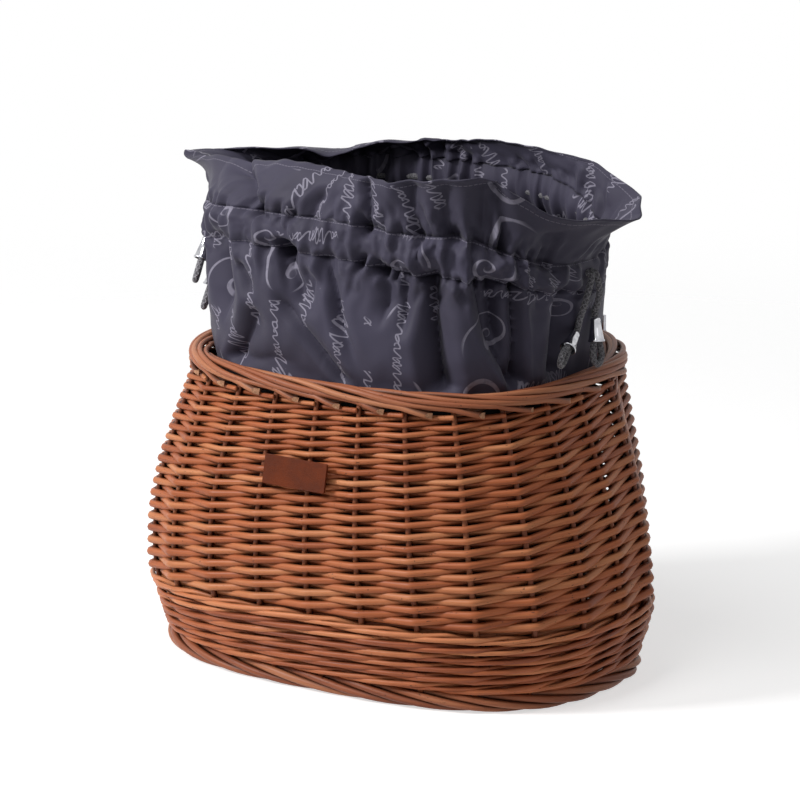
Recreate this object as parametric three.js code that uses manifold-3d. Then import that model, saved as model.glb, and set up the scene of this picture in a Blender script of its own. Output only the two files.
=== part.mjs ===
import * as THREE from 'three';
import { mergeVertices } from 'three/addons/utils/BufferGeometryUtils.js';
import Module from 'manifold-3d';

// Wicker bicycle basket with a drawstring lining bag, in millimetres.
// +Z is up, the front is -Y, and the foot stands on Z = 0.

const fitGap = 0.3; // between pieces that touch

// Plan of the basket: a full oval, flatter in front than a true ellipse
const frontFullness = 2.8;
const backFullness = 2.5;
const planCentreY = -9.6; // puts the middle of the whole depth on the origin

// Line of the side stakes: half length, depth in front and depth behind at four levels
const footLine = { halfLength: 183, front: 131, back: 98 };
const bellyLine = { halfLength: 193, front: 155, back: 106 };
const hipLine = {
  halfLength: bellyLine.halfLength + 5,
  front: bellyLine.front - 5,
  back: bellyLine.back - 2,
};
const rimLine = { halfLength: 156.5, front: 135, back: 133 };
const hipHeight = 73;
const bellyHeight = 121;
const rimHeight = 246;

// Stakes
const stakeCount = 24;
const stakeDiameter = 5;
const firstStakeShift = 4; // of the front middle stake, to the right

// Borders, rolled from one strand for each stake
const footBorderHeight = 16;
const footBorderWidth = 18;
const rimBorderHeight = 18;
const rimBorderWidth = 20;
const borderStrandCount = 6; // side by side in one cross-section
const strandRelief = 0.12; // depth of the groove between strands, of the radius
const footFlat = 0.6; // pressed flat where the foot stands
const borderStationCount = 2 * stakeCount; // where its section is drawn, round the basket

// Woven base
const baseThickness = 6;
const baseClearance = 8; // under its weave
const baseStickDiameter = 7;
const baseStickCount = 5;
const baseStickSpacing = 34;

// Waling: three rods, each in front of two stakes and behind the third
const walingRodCount = 3;
const walingRodThickness = 5.4;
const walingHead = { left: 57, front: 68, right: 63, back: 60 }; // its top, round the basket

// Side weave: two weavers in turn, each in front of every other stake
const weaverCount = 2;
const lowerWeaverThickness = 4.6;
const upperWeaverThickness = 3.8;
const lowerWeaveShare = 0.6; // of the height from the waling to the rim

// Leather tag
const tagWidth = 56;
const tagHeight = 22.5;
const tagThickness = 2.2;
const tagCentreHeight = 175.5;
const tagShift = -6; // of its middle from the front middle
const tagTilt = 0.6; // degrees, its right end down

// Lining bag: outside half length and depths, and heights in the front middle
const fabricThickness = 2.4;
const bagFoot = { halfLength: 143.5, front: 120, back: 82 };
const bagRim = { halfLength: 144.5, front: 123, back: 113 };
const bagBulge = { halfLength: 150, front: 126, back: 110 }; // where it swells over the rim
const channelFoot = { halfLength: 151, front: 119, back: 101 };
const channelHead = { halfLength: 152, front: 117, back: 97 };
const bagBulgeRise = 36; // over the rim
const channelRise = 90; // of its foot over the rim
const channelHeight = 34;
const channelDroop = { left: 14, right: 32 }; // how much lower the ends hang
const channelThickness = 9;
const channelWall = 1.3;

// Hem of the collar, evenly turned round from the right end by the back: x, y, over the channel
const hemPoints = [
  [199, 18, -6], [183, 42, 9], [140, 48, 26], [84, 50, 32],
  [13, 50, 30], [-55, 48, 21], [-98, 31, 6], [-150, 16, 9],
  [-197, -10, 4], [-160, -43, 13], [-116, -62, 22], [-62, -76, 28],
  [0, -86, 31], [66, -93, 29], [120, -72, 33], [168, -42, 8],
];

// Drawcords
const cordDiameter = 5;
const cordHoleDiameter = 11.6;
const cordEndLength = 18;
const cordEndSmallDiameter = 7.4;
const cordEndWideDiameter = 13;
const cordEndMouthDepth = 6;
const cordEndWall = 0.9;
const cordLoopLength = 19;
const cordLoopWidth = 14;

// Leather straps for the handlebar
const strapWidth = 18;
const strapThickness = 2.5;
const strapGap = 0.4; // round the rim border
const handlebarSpace = 31; // clear depth of the loop
const strapDrop = 18; // how far the loop hangs below the slit under the border
const strapTail = 22;
const buckleBar = 2.8;
const buckleOpening = 13.4; // between its two bars
const buckleSideGap = 1;
const heelBarLift = 15; // over the foot of the loop
const foldedEnd = 10; // of the strap, behind its tail
const strapBend = 2.4;
const prongThickness = 2;
const prongWidth = 2;
const prongSlotGap = 0.5; // on each side of the prong

const wickerColour = 0xb06a45;
const wicker = () => new THREE.MeshStandardMaterial({ color: wickerColour, roughness: 0.55 });
const fabric = () => new THREE.MeshStandardMaterial({ color: 0x4a4752, roughness: 0.6 });
const leather = () => new THREE.MeshStandardMaterial({ color: 0x7b4023, roughness: 0.5 });
const cord = () => new THREE.MeshStandardMaterial({ color: 0x77757c, roughness: 0.9 });
const steel = () => new THREE.MeshStandardMaterial({ color: 0xd8d8d8, roughness: 0.12, metalness: 1 });

const basket = new THREE.Group();
basket.position.y = planCentreY;

function addPiece(name, geometry, material) {
  geometry.computeVertexNormals();
  const mesh = new THREE.Mesh(geometry, material);
  mesh.name = name;
  basket.add(mesh);
  return mesh;
}

// Cuts and joins of closed meshes

const wasm = await Module();
wasm.setup();

function toSolid(geometry) {
  const bare = geometry.clone();
  bare.deleteAttribute('normal');
  bare.deleteAttribute('uv');
  const merged = mergeVertices(bare, 1e-4);
  return new wasm.Manifold(new wasm.Mesh({
    numProp: 3,
    vertProperties: new Float32Array(merged.attributes.position.array),
    triVerts: new Uint32Array(merged.index.array),
  }));
}

function toGeometry(solid) {
  const mesh = solid.getMesh();
  const geometry = new THREE.BufferGeometry();
  geometry.setAttribute('position', new THREE.BufferAttribute(mesh.vertProperties, mesh.numProp));
  geometry.setIndex(new THREE.BufferAttribute(mesh.triVerts, 1));
  return geometry;
}

// A skin over rings of points. The ends are capped, or the last ring joins the first.
function loft(rings, closed = false) {
  const around = rings[0].length;
  const positions = rings.flat().flatMap((point) => [point.x, point.y, point.z]);
  const index = [];
  const spans = closed ? rings.length : rings.length - 1;
  for (let ring = 0; ring < spans; ring += 1) {
    const next = (ring + 1) % rings.length;
    for (let i = 0; i < around; i += 1) {
      const j = (i + 1) % around;
      const [a, b] = [ring * around + i, ring * around + j];
      const [c, d] = [next * around + i, next * around + j];
      index.push(a, b, d, a, d, c);
    }
  }
  if (!closed) {
    const last = (rings.length - 1) * around;
    for (let i = 1; i < around - 1; i += 1) {
      index.push(0, i + 1, i, last, last + i, last + i + 1);
    }
  }
  const geometry = new THREE.BufferGeometry();
  geometry.setAttribute('position', new THREE.Float32BufferAttribute(positions, 3));
  geometry.setIndex(volumeInside(positions, index) > 0 ? index : index.reverse());
  return geometry;
}

// Negative where the faces point inwards
function volumeInside(positions, index) {
  const point = (i) => new THREE.Vector3(...positions.slice(3 * i, 3 * i + 3));
  let volume = 0;
  for (let i = 0; i < index.length; i += 3) {
    const [a, b, c] = [point(index[i]), point(index[i + 1]), point(index[i + 2])];
    volume += a.dot(b.cross(c)) / 6;
  }
  return volume;
}

// Plan curves

function planPoint(angle, line) {
  const [c, s] = [Math.cos(angle), Math.sin(angle)];
  const power = 2 / (s < 0 ? frontFullness : backFullness);
  const depth = s < 0 ? line.front : line.back;
  return new THREE.Vector2(
    line.halfLength * Math.sign(c) * Math.abs(c) ** power,
    depth * Math.sign(s) * Math.abs(s) ** power,
  );
}

function planNormal(angle, line) {
  const step = 0.004;
  const along = planPoint(angle + step, line).sub(planPoint(angle - step, line)).normalize();
  return new THREE.Vector2(along.y, -along.x);
}

// Angle of each place round the oval, counted in stakes, evenly spaced along the belly
const roundSampleCount = 1440;
const roundLengths = [0];
const frontAngle = -Math.PI / 2;
const sampleAngle = (i) => frontAngle + (2 * Math.PI * i) / roundSampleCount;
for (let i = 1; i <= roundSampleCount; i += 1) {
  const step = planPoint(sampleAngle(i), bellyLine).distanceTo(planPoint(sampleAngle(i - 1), bellyLine));
  roundLengths.push(roundLengths[i - 1] + step);
}
const roundLength = roundLengths[roundSampleCount];
const stakeSpacing = roundLength / stakeCount;

function placeAngle(place) {
  const wanted = place * stakeSpacing + firstStakeShift;
  const length = ((wanted % roundLength) + roundLength) % roundLength;
  const i = roundLengths.findIndex((reached) => reached > length);
  const part = (length - roundLengths[i - 1]) / (roundLengths[i] - roundLengths[i - 1]);
  return sampleAngle(i - 1 + part);
}

// Smooth line through a value at each height, with no overshoot
function throughHeights(heights, values) {
  const slopes = heights.map((height, i) => {
    const before = i > 0 ? (values[i] - values[i - 1]) / (height - heights[i - 1]) : null;
    const after = i < heights.length - 1 ? (values[i + 1] - values[i]) / (heights[i + 1] - height) : null;
    if (before === null) return after;
    if (after === null) return before;
    return before * after > 0 ? (2 * before * after) / (before + after) : 0;
  });
  return (z) => {
    const found = heights.findIndex((height) => height > z) - 1;
    const i = found === -2 ? heights.length - 2 : Math.max(found, 0);
    const width = heights[i + 1] - heights[i];
    const u = THREE.MathUtils.clamp((z - heights[i]) / width, 0, 1);
    return values[i] * (1 + 2 * u) * (1 - u) ** 2 + slopes[i] * width * u * (1 - u) ** 2
      + values[i + 1] * u * u * (3 - 2 * u) + slopes[i + 1] * width * u * u * (u - 1);
  };
}

function lineThrough(heights, lines) {
  const part = (name) => throughHeights(heights, lines.map((line) => line[name]));
  const [halfLength, front, back] = [part('halfLength'), part('front'), part('back')];
  return (z) => ({ halfLength: halfLength(z), front: front(z), back: back(z) });
}

// Levels of the wall
const walingFoot = footBorderHeight + fitGap;
const footBorderCentre = footBorderHeight / 2 - footFlat;
const rimBorderCentre = rimHeight - rimBorderHeight / 2;
const rimBorderFoot = rimHeight - rimBorderHeight;
const wallCurve = lineThrough(
  [footBorderHeight / 2, hipHeight, bellyHeight, rimBorderCentre],
  [footLine, hipLine, bellyLine, rimLine],
);

// The stakes follow the curve in straight spans, and so does all that is woven on them
// Each end meets a groove of its border
const stakeFoot = footBorderCentre + (footBorderHeight / 2 + footFlat) * (1 - strandRelief) + fitGap;
const stakeHead = rimBorderCentre - (rimBorderHeight / 2) * (1 - strandRelief) - fitGap;
const stakeSpanCount = 6;
const stakeLevels = [];
for (let i = 0; i <= stakeSpanCount; i += 1) {
  const z = THREE.MathUtils.lerp(stakeFoot, stakeHead, i / stakeSpanCount);
  stakeLevels.push({ z, line: wallCurve(z) });
}

function mixLines(low, high, part) {
  const mix = (name) => THREE.MathUtils.lerp(low[name], high[name], part);
  return { halfLength: mix('halfLength'), front: mix('front'), back: mix('back') };
}

function stakeLine(z) {
  const along = ((z - stakeFoot) / (stakeHead - stakeFoot)) * stakeSpanCount;
  const i = THREE.MathUtils.clamp(Math.floor(along), 0, stakeSpanCount - 1);
  return mixLines(stakeLevels[i].line, stakeLevels[i + 1].line, along - i);
}

// Borders

function widened(line, by) {
  return { halfLength: line.halfLength + by, front: line.front + by, back: line.back + by };
}

function rolledBorder(line, centreHeight, width, height) {
  const around = borderStrandCount * 2;
  const turns = stakeCount / borderStrandCount;
  const rings = [];
  for (let station = 0; station < borderStationCount; station += 1) {
    const turned = station / borderStationCount;
    const angle = placeAngle(turned * stakeCount);
    const centre = planPoint(angle, line);
    const normal = planNormal(angle, line);
    const twist = -2 * Math.PI * turns * turned;
    const ring = [];
    for (let i = 0; i < around; i += 1) {
      const reach = i % 2 === 0 ? 1 : 1 - strandRelief;
      const turn = twist + (2 * Math.PI * i) / around;
      const out = (width / 2) * reach * Math.cos(turn);
      const up = centreHeight + (height / 2) * reach * Math.sin(turn);
      ring.push(new THREE.Vector3(centre.x + normal.x * out, centre.y + normal.y * out, Math.max(up, 0)));
    }
    rings.push(ring);
  }
  // The twist comes back to the start a whole number of points round
  const shift = Math.round(turns * around) % around;
  const first = rings[0];
  rings[0] = first.map((_, i) => first[(i + shift) % around]);
  return loft(rings, true);
}

addPiece(
  'foot_border',
  rolledBorder(footLine, footBorderCentre, footBorderWidth, footBorderHeight + 2 * footFlat),
  wicker(),
);
addPiece(
  'rim_border',
  rolledBorder(rimLine, rimBorderCentre, rimBorderWidth, rimBorderHeight),
  wicker(),
);

// Base: an oval mat of weave with the sticks that it is woven on

function ovalPlate(line, foot, thickness, around) {
  const ring = (z) => {
    const points = [];
    for (let i = 0; i < around; i += 1) {
      const point = planPoint((2 * Math.PI * i) / around, line);
      points.push(new THREE.Vector3(point.x, point.y, z));
    }
    return points;
  };
  return loft([ring(foot), ring(foot + thickness)]);
}

const baseLine = widened(footLine, -footBorderWidth / 2 - fitGap);
const baseMiddle = baseClearance + baseThickness / 2;
let base = toSolid(ovalPlate(baseLine, baseClearance, baseThickness, 48));
for (let i = 0; i < baseStickCount; i += 1) {
  const y = (baseLine.back - baseLine.front) / 2 + (i - (baseStickCount - 1) / 2) * baseStickSpacing;
  const depth = y < 0 ? baseLine.front : baseLine.back;
  const fullness = y < 0 ? frontFullness : backFullness;
  const edge = baseLine.halfLength * (1 - Math.abs(y / depth) ** fullness) ** (1 / fullness);
  const reach = edge - baseStickDiameter;
  const stick = new THREE.CylinderGeometry(baseStickDiameter / 2, baseStickDiameter / 2, 2 * reach, 8);
  stick.rotateZ(Math.PI / 2);
  stick.translate(0, y, baseMiddle - (baseStickDiameter - baseThickness) / 2 - fitGap);
  base = base.add(toSolid(stick));
}
addPiece('base_weave', toGeometry(base), wicker());

// Stakes, from the foot border to the rim border

const stakeAngles = [];
for (let i = 0; i < stakeCount; i += 1) {
  stakeAngles.push(placeAngle(i));
}

// Middle of a stake at a height, moved outward by a distance
function besideStake(angle, z, out = 0) {
  const line = stakeLine(z);
  const point = planPoint(angle, line).addScaledVector(planNormal(angle, line), out);
  return new THREE.Vector3(point.x, point.y, z);
}

const stakeSideCount = 6;
stakeAngles.forEach((angle, number) => {
  const rings = [];
  for (const { z, line } of stakeLevels) {
    const centre = besideStake(angle, z);
    const facing = planNormal(angle, line).angle();
    const ring = [];
    for (let i = 0; i < stakeSideCount; i += 1) {
      const turn = facing + (2 * Math.PI * (i + 0.5)) / stakeSideCount;
      const [x, y] = [Math.cos(turn), Math.sin(turn)];
      ring.push(centre.clone().add(new THREE.Vector3(x, y, 0).multiplyScalar(stakeDiameter / 2)));
    }
    rings.push(ring);
  }
  addPiece(`stake_${String(number + 1).padStart(2, '0')}`, loft(rings), wicker());
});

// Rods woven round the stakes. They start one after another round the basket, all at the foot
// of their band, and each rises one level where the next one starts.

function wovenRod({ thickness, foot, head, levels, rods, rod, inFront }) {
  const reach = stakeDiameter / 2 + fitGap + thickness / 2;
  const stakesToLevel = stakeCount / rods;
  const places = [];
  for (let step = 0; step < levels * stakesToLevel; step += 1) {
    const place = rod * stakesToLevel + step;
    const angle = stakeAngles[place % stakeCount];
    const level = Math.floor(step / stakesToLevel);
    const z = THREE.MathUtils.lerp(foot(angle), head(angle), (level + 0.5) / levels);
    const tangent = planNormal(angle, stakeLine(z)).rotateAround(new THREE.Vector2(), Math.PI / 2);
    places.push({ angle, z, tangent, side: inFront(place) ? 1 : -1, out: reach });
  }

  // The rod leaves a stake at a slant, so it passes a little further from the stake's middle
  const chords = () => {
    const points = places.map(({ angle, z, side, out }) => {
      const point = besideStake(angle, z, side * out);
      return new THREE.Vector2(point.x, point.y);
    });
    return points.slice(1).map((point, i) => point.clone().sub(points[i]).normalize());
  };
  for (let pass = 0; pass < 3; pass += 1) {
    const ways = chords();
    places.forEach((place, i) => {
      const slants = [ways[i - 1], ways[i]].filter(Boolean).map((way) => Math.abs(way.dot(place.tangent)));
      place.out = reach / Math.min(...slants);
    });
  }

  const ways = chords();
  const rings = places.map(({ angle, z, side, out }, i) => {
    const before = ways[Math.max(i - 1, 0)];
    const after = ways[Math.min(i, ways.length - 1)];
    const along = before.clone().add(after).normalize();
    const across = new THREE.Vector3(along.y, -along.x, 0).multiplyScalar(thickness / 2 / along.dot(after));
    const edge = (level) => besideStake(angle, z + level, side * out);
    const [low, high] = [edge(-thickness / 2), edge(thickness / 2)];
    return [low.clone().sub(across), low.add(across), high.clone().add(across), high.sub(across)];
  });
  return loft(rings);
}

// Top of the waling: it is lowest at the left end and highest in front
function walingTop(angle) {
  const [c, s] = [Math.cos(angle), Math.sin(angle)];
  return c * c * (c > 0 ? walingHead.right : walingHead.left)
    + s * s * (s > 0 ? walingHead.back : walingHead.front);
}

const levelsIn = (height, thickness) => Math.floor(height / (thickness + fitGap));
const lowestWaling = Math.min(...Object.values(walingHead)) - walingFoot;
for (let rod = 0; rod < walingRodCount; rod += 1) {
  const geometry = wovenRod({
    thickness: walingRodThickness,
    foot: () => walingFoot,
    head: walingTop,
    levels: levelsIn(lowestWaling, walingRodThickness),
    rods: walingRodCount,
    rod,
    inFront: (place) => (place + rod) % walingRodCount !== 0,
  });
  addPiece(`waling_rod_${rod + 1}`, geometry, wicker());
}

// The side weave leaves a slit for the straps under the rim border
const strapSlit = strapThickness + 2 * strapGap;
const weaveTop = rimBorderFoot - strapSlit;
const weaveHeight = (angle, share) => THREE.MathUtils.lerp(walingTop(angle) + fitGap, weaveTop, share);
const lowestWeave = weaveTop - Math.max(...Object.values(walingHead)) - fitGap;
const weaveBands = [
  { name: 'lower', thickness: lowerWeaverThickness, from: 0, to: lowerWeaveShare },
  { name: 'upper', thickness: upperWeaverThickness, from: lowerWeaveShare, to: 1 },
];
for (const { name, thickness, from, to } of weaveBands) {
  for (let rod = 0; rod < weaverCount; rod += 1) {
    const geometry = wovenRod({
      thickness,
      foot: (angle) => weaveHeight(angle, from),
      head: (angle) => weaveHeight(angle, to),
      levels: levelsIn(lowestWeave * (to - from), thickness),
      rods: weaverCount,
      rod,
      inFront: (place) => (place + rod) % weaverCount === 0,
    });
    addPiece(`${name}_weaver_${rod + 1}`, geometry, wicker());
  }
}

// Tag, flat against the weave on the middle of the front

const tagSeat = (z) => stakeLine(z).front + stakeDiameter / 2 + upperWeaverThickness + 2 * fitGap;
const tagTop = tagCentreHeight + tagHeight / 2;
const tagFoot = tagCentreHeight - tagHeight / 2;
const tagLean = Math.atan2(tagSeat(tagFoot) - tagSeat(tagTop), tagHeight);
const tagCorner = 1.5;
const tagShape = new THREE.Shape();
const [tagX, tagZ] = [tagWidth / 2, tagHeight / 2];
tagShape.moveTo(-tagX + tagCorner, -tagZ);
tagShape.lineTo(tagX - tagCorner, -tagZ);
tagShape.quadraticCurveTo(tagX, -tagZ, tagX, -tagZ + tagCorner);
tagShape.lineTo(tagX, tagZ - tagCorner);
tagShape.quadraticCurveTo(tagX, tagZ, tagX - tagCorner, tagZ);
tagShape.lineTo(-tagX + tagCorner, tagZ);
tagShape.quadraticCurveTo(-tagX, tagZ, -tagX, tagZ - tagCorner);
tagShape.lineTo(-tagX, -tagZ + tagCorner);
tagShape.quadraticCurveTo(-tagX, -tagZ, -tagX + tagCorner, -tagZ);
const tagGeometry = new THREE.ExtrudeGeometry(tagShape, {
  depth: tagThickness, bevelEnabled: false, curveSegments: 3,
});
tagGeometry.rotateZ(THREE.MathUtils.degToRad(-tagTilt));
tagGeometry.rotateX(Math.PI / 2 - tagLean);
tagGeometry.translate(tagShift, -tagSeat(tagCentreHeight) - 2 * fitGap, tagCentreHeight);
addPiece('leather_tag', tagGeometry, leather());

// Lining bag: bottom, wall, drawstring channel and collar

const bagBottomFoot = baseClearance + baseThickness + fitGap;
const bagWallFoot = bagBottomFoot + fabricThickness + fitGap;
const channelFootHeight = rimHeight + channelRise;
const channelHeadHeight = channelFootHeight + channelHeight;
const bagPointCount = 44;

// The ends hang lower than the middle
function droopAt(angle, droop) {
  const side = Math.cos(angle);
  return (side > 0 ? droop.right : droop.left) * Math.abs(side) ** 3;
}

function bagRing(line, height, droop, inset) {
  const ring = [];
  for (let i = 0; i < bagPointCount; i += 1) {
    const angle = (2 * Math.PI * i) / bagPointCount;
    const point = planPoint(angle, widened(line, -inset));
    ring.push(new THREE.Vector3(point.x, point.y, height - droopAt(angle, droop)));
  }
  return ring;
}

// Rings from the outside's foot up and back down the inside make a closed wall
function bagWall(levels, thickness) {
  const outside = levels.map(({ line, height, droop }) => bagRing(line, height, droop, 0));
  const inside = levels.map(({ line, height, droop }) => bagRing(line, height, droop, thickness));
  return loft([...outside, ...inside.reverse()], true);
}

function between(low, high, part) {
  const mix = (a, b) => THREE.MathUtils.lerp(a, b, part);
  return {
    line: mixLines(low.line, high.line, part),
    height: mix(low.height, high.height),
    droop: { left: mix(low.droop.left, high.droop.left), right: mix(low.droop.right, high.droop.right) },
  };
}

const noDroop = { left: 0, right: 0 };
const wallFoot = { line: bagFoot, height: bagWallFoot, droop: noDroop };
const wallRim = { line: bagRim, height: rimHeight, droop: noDroop };
const wallBulge = { line: bagBulge, height: rimHeight + bagBulgeRise, droop: noDroop };
const wallHead = { line: channelFoot, height: channelFootHeight - fitGap, droop: channelDroop };
const bagBottom = ovalPlate(bagFoot, bagBottomFoot, fabricThickness, bagPointCount);
addPiece('bag_bottom', bagBottom, fabric());
addPiece(
  'bag_wall',
  bagWall([wallFoot, wallRim, wallBulge, wallHead], fabricThickness),
  fabric(),
);

// The channel is a hollow tube of cloth round the drawcords, with a hole at each end of the oval
const channelProud = (channelThickness - fabricThickness) / 2;
const channelLevel = (line, height) => ({ line, height, droop: channelDroop });
const channelLow = channelLevel(widened(channelFoot, channelProud), channelFootHeight);
const channelHigh = channelLevel(widened(channelHead, channelProud), channelHeadHeight);
const hollowLow = channelLevel(widened(channelLow.line, -channelWall), channelFootHeight + channelWall);
const hollowHigh = channelLevel(widened(channelHigh.line, -channelWall), channelHeadHeight - channelWall);
let channel = toSolid(bagWall([channelLow, channelHigh], channelThickness))
  .subtract(toSolid(bagWall([hollowLow, hollowHigh], channelThickness - 2 * channelWall)));
const channelEnd = channelLow.line.halfLength;
const cordHoles = {
  left: { x: -channelEnd, y: -10, z: channelFootHeight - channelDroop.left + 10 },
  right: { x: channelEnd, y: 7, z: channelFootHeight - channelDroop.right + 17 },
};
for (const { x, y, z } of Object.values(cordHoles)) {
  const hole = new THREE.CylinderGeometry(cordHoleDiameter / 2, cordHoleDiameter / 2, channelThickness, 12);
  hole.rotateZ(Math.PI / 2);
  hole.translate(x, y, z);
  channel = channel.subtract(toSolid(hole));
}
addPiece('drawstring_channel', toGeometry(channel), fabric());

// The drawcord's run inside the channel
const channelMiddle = between(channelLow, channelHigh, 0.5);
const cordSideCount = 8;
const hiddenCordRings = [];
for (let i = 0; i < bagPointCount; i += 1) {
  const angle = (2 * Math.PI * i) / bagPointCount;
  const line = widened(channelMiddle.line, -channelThickness / 2);
  const centre = planPoint(angle, line);
  const normal = planNormal(angle, line);
  const ring = [];
  for (let side = 0; side < cordSideCount; side += 1) {
    const turn = (2 * Math.PI * side) / cordSideCount;
    const out = (cordDiameter / 2) * Math.cos(turn);
    const up = (cordDiameter / 2) * Math.sin(turn);
    const z = channelMiddle.height - droopAt(angle, channelDroop) + up;
    ring.push(new THREE.Vector3(centre.x + normal.x * out, centre.y + normal.y * out, z));
  }
  hiddenCordRings.push(ring);
}
addPiece('channel_drawcord', loft(hiddenCordRings, true), cord());

// The collar goes from the channel's head to the hem
const hemCurve = new THREE.CatmullRomCurve3(
  hemPoints.map(([x, y, rise]) => new THREE.Vector3(x, y, channelHeadHeight + rise)),
  true,
);

function hemRing(inset) {
  const ring = [];
  for (let i = 0; i < bagPointCount; i += 1) {
    const after = hemCurve.getPoint((i + 1) / bagPointCount);
    const way = after.sub(hemCurve.getPoint((i - 1) / bagPointCount));
    const inward = new THREE.Vector3(-way.y, way.x, 0).setLength(inset);
    ring.push(hemCurve.getPoint(i / bagPointCount).add(inward));
  }
  return ring;
}

function collarSide(inset) {
  const foot = bagRing(channelHead, channelHeadHeight + fitGap, channelDroop, inset);
  const head = hemRing(inset);
  return [foot, foot.map((point, i) => point.clone().lerp(head[i], 0.5)), head];
}

addPiece('bag_collar', loft([...collarSide(0), ...collarSide(fabricThickness).reverse()], true), fabric());

// Free tails of the drawcords, their metal ends and the loops below them. Points are given from
// the hole: outward, toward the back and up. The end's axis goes on from the tail's last point.
const cordTails = [
  {
    name: 'right_front',
    tail: [[0.1, -2.7, 0], [4.7, -3.2, -3], [4.1, -11, -21], [1.2, -14, -34], [-0.7, -17, -44.5]],
    wideEnd: [2.7, -37, -55.5],
    loopWay: [0.25, -0.85, 0.45],
  },
  {
    name: 'right_back',
    tail: [[0.1, 2.7, 0], [4.7, 4.2, -3], [4.7, 9, -17], [1.7, 10, -29], [0.1, 10.6, -38]],
    wideEnd: [3.1, 7.5, -55],
    loopWay: [0.2, 0.95, 0.2],
  },
  {
    name: 'left_front',
    tail: [[0.1, -2.7, 0], [6.2, -7, 1], [7.7, -18, -3.5], [7.7, -26, -8.5], [5.7, -32.5, -14]],
    wideEnd: [6.3, -40.5, -30],
    loopWay: [0.5, 0.85, 0.2],
  },
  {
    name: 'left_back',
    tail: [[0.1, 2.7, 0], [6.2, 1, -7], [5.7, -7, -20], [3.7, -17, -29], [1.7, -25, -36.5]],
    wideEnd: [4.1, -31.5, -53],
    loopWay: [0.5, 0.85, 0.2],
  },
];

function circleShape(radius, sides) {
  const shape = new THREE.Shape();
  for (let i = 0; i < sides; i += 1) {
    const turn = (2 * Math.PI * i) / sides;
    const point = [radius * Math.cos(turn), radius * Math.sin(turn)];
    if (i === 0) shape.moveTo(...point);
    else shape.lineTo(...point);
  }
  return shape;
}

function cordTube(points, steps) {
  const path = new THREE.CatmullRomCurve3(points);
  return new THREE.ExtrudeGeometry(circleShape(cordDiameter / 2, 8), { steps, extrudePath: path });
}

const cordEndMouth = cordEndWideDiameter / 2 - cordEndWall;
const cordEndProfile = [
  [0, cordEndMouthDepth - cordEndLength],
  [cordEndMouth - fitGap, cordEndMouthDepth - cordEndLength],
  [cordEndMouth, -cordEndLength],
  [cordEndWideDiameter / 2, -cordEndLength],
  [cordEndMouth, -cordEndLength * 0.62],
  [cordEndSmallDiameter / 2, 0],
  [0, 0],
];

for (const { name, tail, wideEnd, loopWay } of cordTails) {
  const hole = name.startsWith('left') ? cordHoles.left : cordHoles.right;
  const outward = Math.sign(hole.x);
  const fromHole = ([out, back, up]) => new THREE.Vector3(hole.x + outward * out, hole.y + back, hole.z + up);
  const route = tail.map(fromHole);
  const end = route[route.length - 1];
  const along = fromHole(wideEnd).sub(end).normalize();
  route.splice(-1, 0, end.clone().addScaledVector(along, -cordDiameter));
  addPiece(`cord_tail_${name}`, cordTube(route, 6), cord());

  const head = end.clone().addScaledVector(along, 2 * fitGap);
  const turnDown = new THREE.Quaternion().setFromUnitVectors(new THREE.Vector3(0, 0, -1), along);
  const cordEnd = new THREE.LatheGeometry(
    cordEndProfile.map(([r, z]) => new THREE.Vector2(r, z)),
    12,
  );
  cordEnd.rotateX(Math.PI / 2);
  cordEnd.applyQuaternion(turnDown);
  cordEnd.translate(head.x, head.y, head.z);
  addPiece(`cord_end_${name}`, cordEnd, steel());

  const sideways = new THREE.Vector3(outward * loopWay[0], loopWay[1], loopWay[2]);
  sideways.addScaledVector(along, -sideways.dot(along)).normalize();
  const mouth = head.clone().addScaledVector(along, cordEndLength - cordEndMouthDepth + fitGap);
  const strand = (cordDiameter + fitGap) / 2;
  const bow = (cordLoopWidth - cordDiameter) / 2;
  const bowEnd = cordEndMouthDepth + cordLoopLength - cordDiameter / 2;
  const outline = [
    [-strand, 0], [-strand, cordEndMouthDepth * 0.8], [-bow, bowEnd * 0.65], [-bow * 0.7, bowEnd * 0.9],
    [0, bowEnd],
    [bow * 0.7, bowEnd * 0.9], [bow, bowEnd * 0.65], [strand, cordEndMouthDepth * 0.8], [strand, 0],
  ];
  const loop = outline.map(([side, down]) => mouth.clone()
    .addScaledVector(sideways, side)
    .addScaledVector(along, down));
  addPiece(`cord_loop_${name}`, cordTube(loop, 14), cord());
}

// Straps: each goes round the rim border and the handlebar behind it, and closes in a buckle.
// Their outlines are drawn in a plane across the wall: first value outward, second up.

const strapHalf = strapThickness / 2;
const strapInside = -(rimBorderWidth / 2 + strapGap + strapHalf);
const strapHead = rimHeight + strapGap + strapHalf;
const strapSlitHeight = rimBorderFoot - strapGap - strapHalf;
const strapWayDown = rimBorderWidth / 2 + strapThickness;
const strapOutside = rimBorderWidth / 2 + handlebarSpace + strapHalf;
const strapFoot = strapSlitHeight - strapDrop;

// The buckle's bars are square. The strap is folded round the heel bar, and its tail passes
// behind the front bar, out through the opening and over the heel bar.
const barSeat = buckleBar / 2 + fitGap + strapHalf;
const buckleOut = strapOutside + barSeat;
const heelBar = strapFoot + heelBarLift;
const frontBar = heelBar + buckleOpening + buckleBar;
const prongBack = buckleOut + buckleBar / 2 + fitGap;
const tailOut = buckleOut + barSeat + strapThickness + fitGap;

function roundedLine(corners, radius, steps) {
  const points = [corners[0]];
  for (let i = 1; i < corners.length - 1; i += 1) {
    const corner = corners[i];
    const back = corners[i - 1].clone().sub(corner);
    const on = corners[i + 1].clone().sub(corner);
    const reach = Math.min(radius, back.length() / 2, on.length() / 2);
    const from = corner.clone().addScaledVector(back.normalize(), reach);
    const to = corner.clone().addScaledVector(on.normalize(), reach);
    points.push(...new THREE.QuadraticBezierCurve(from, corner, to).getPoints(steps));
  }
  points.push(corners[corners.length - 1]);
  return points;
}

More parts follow.
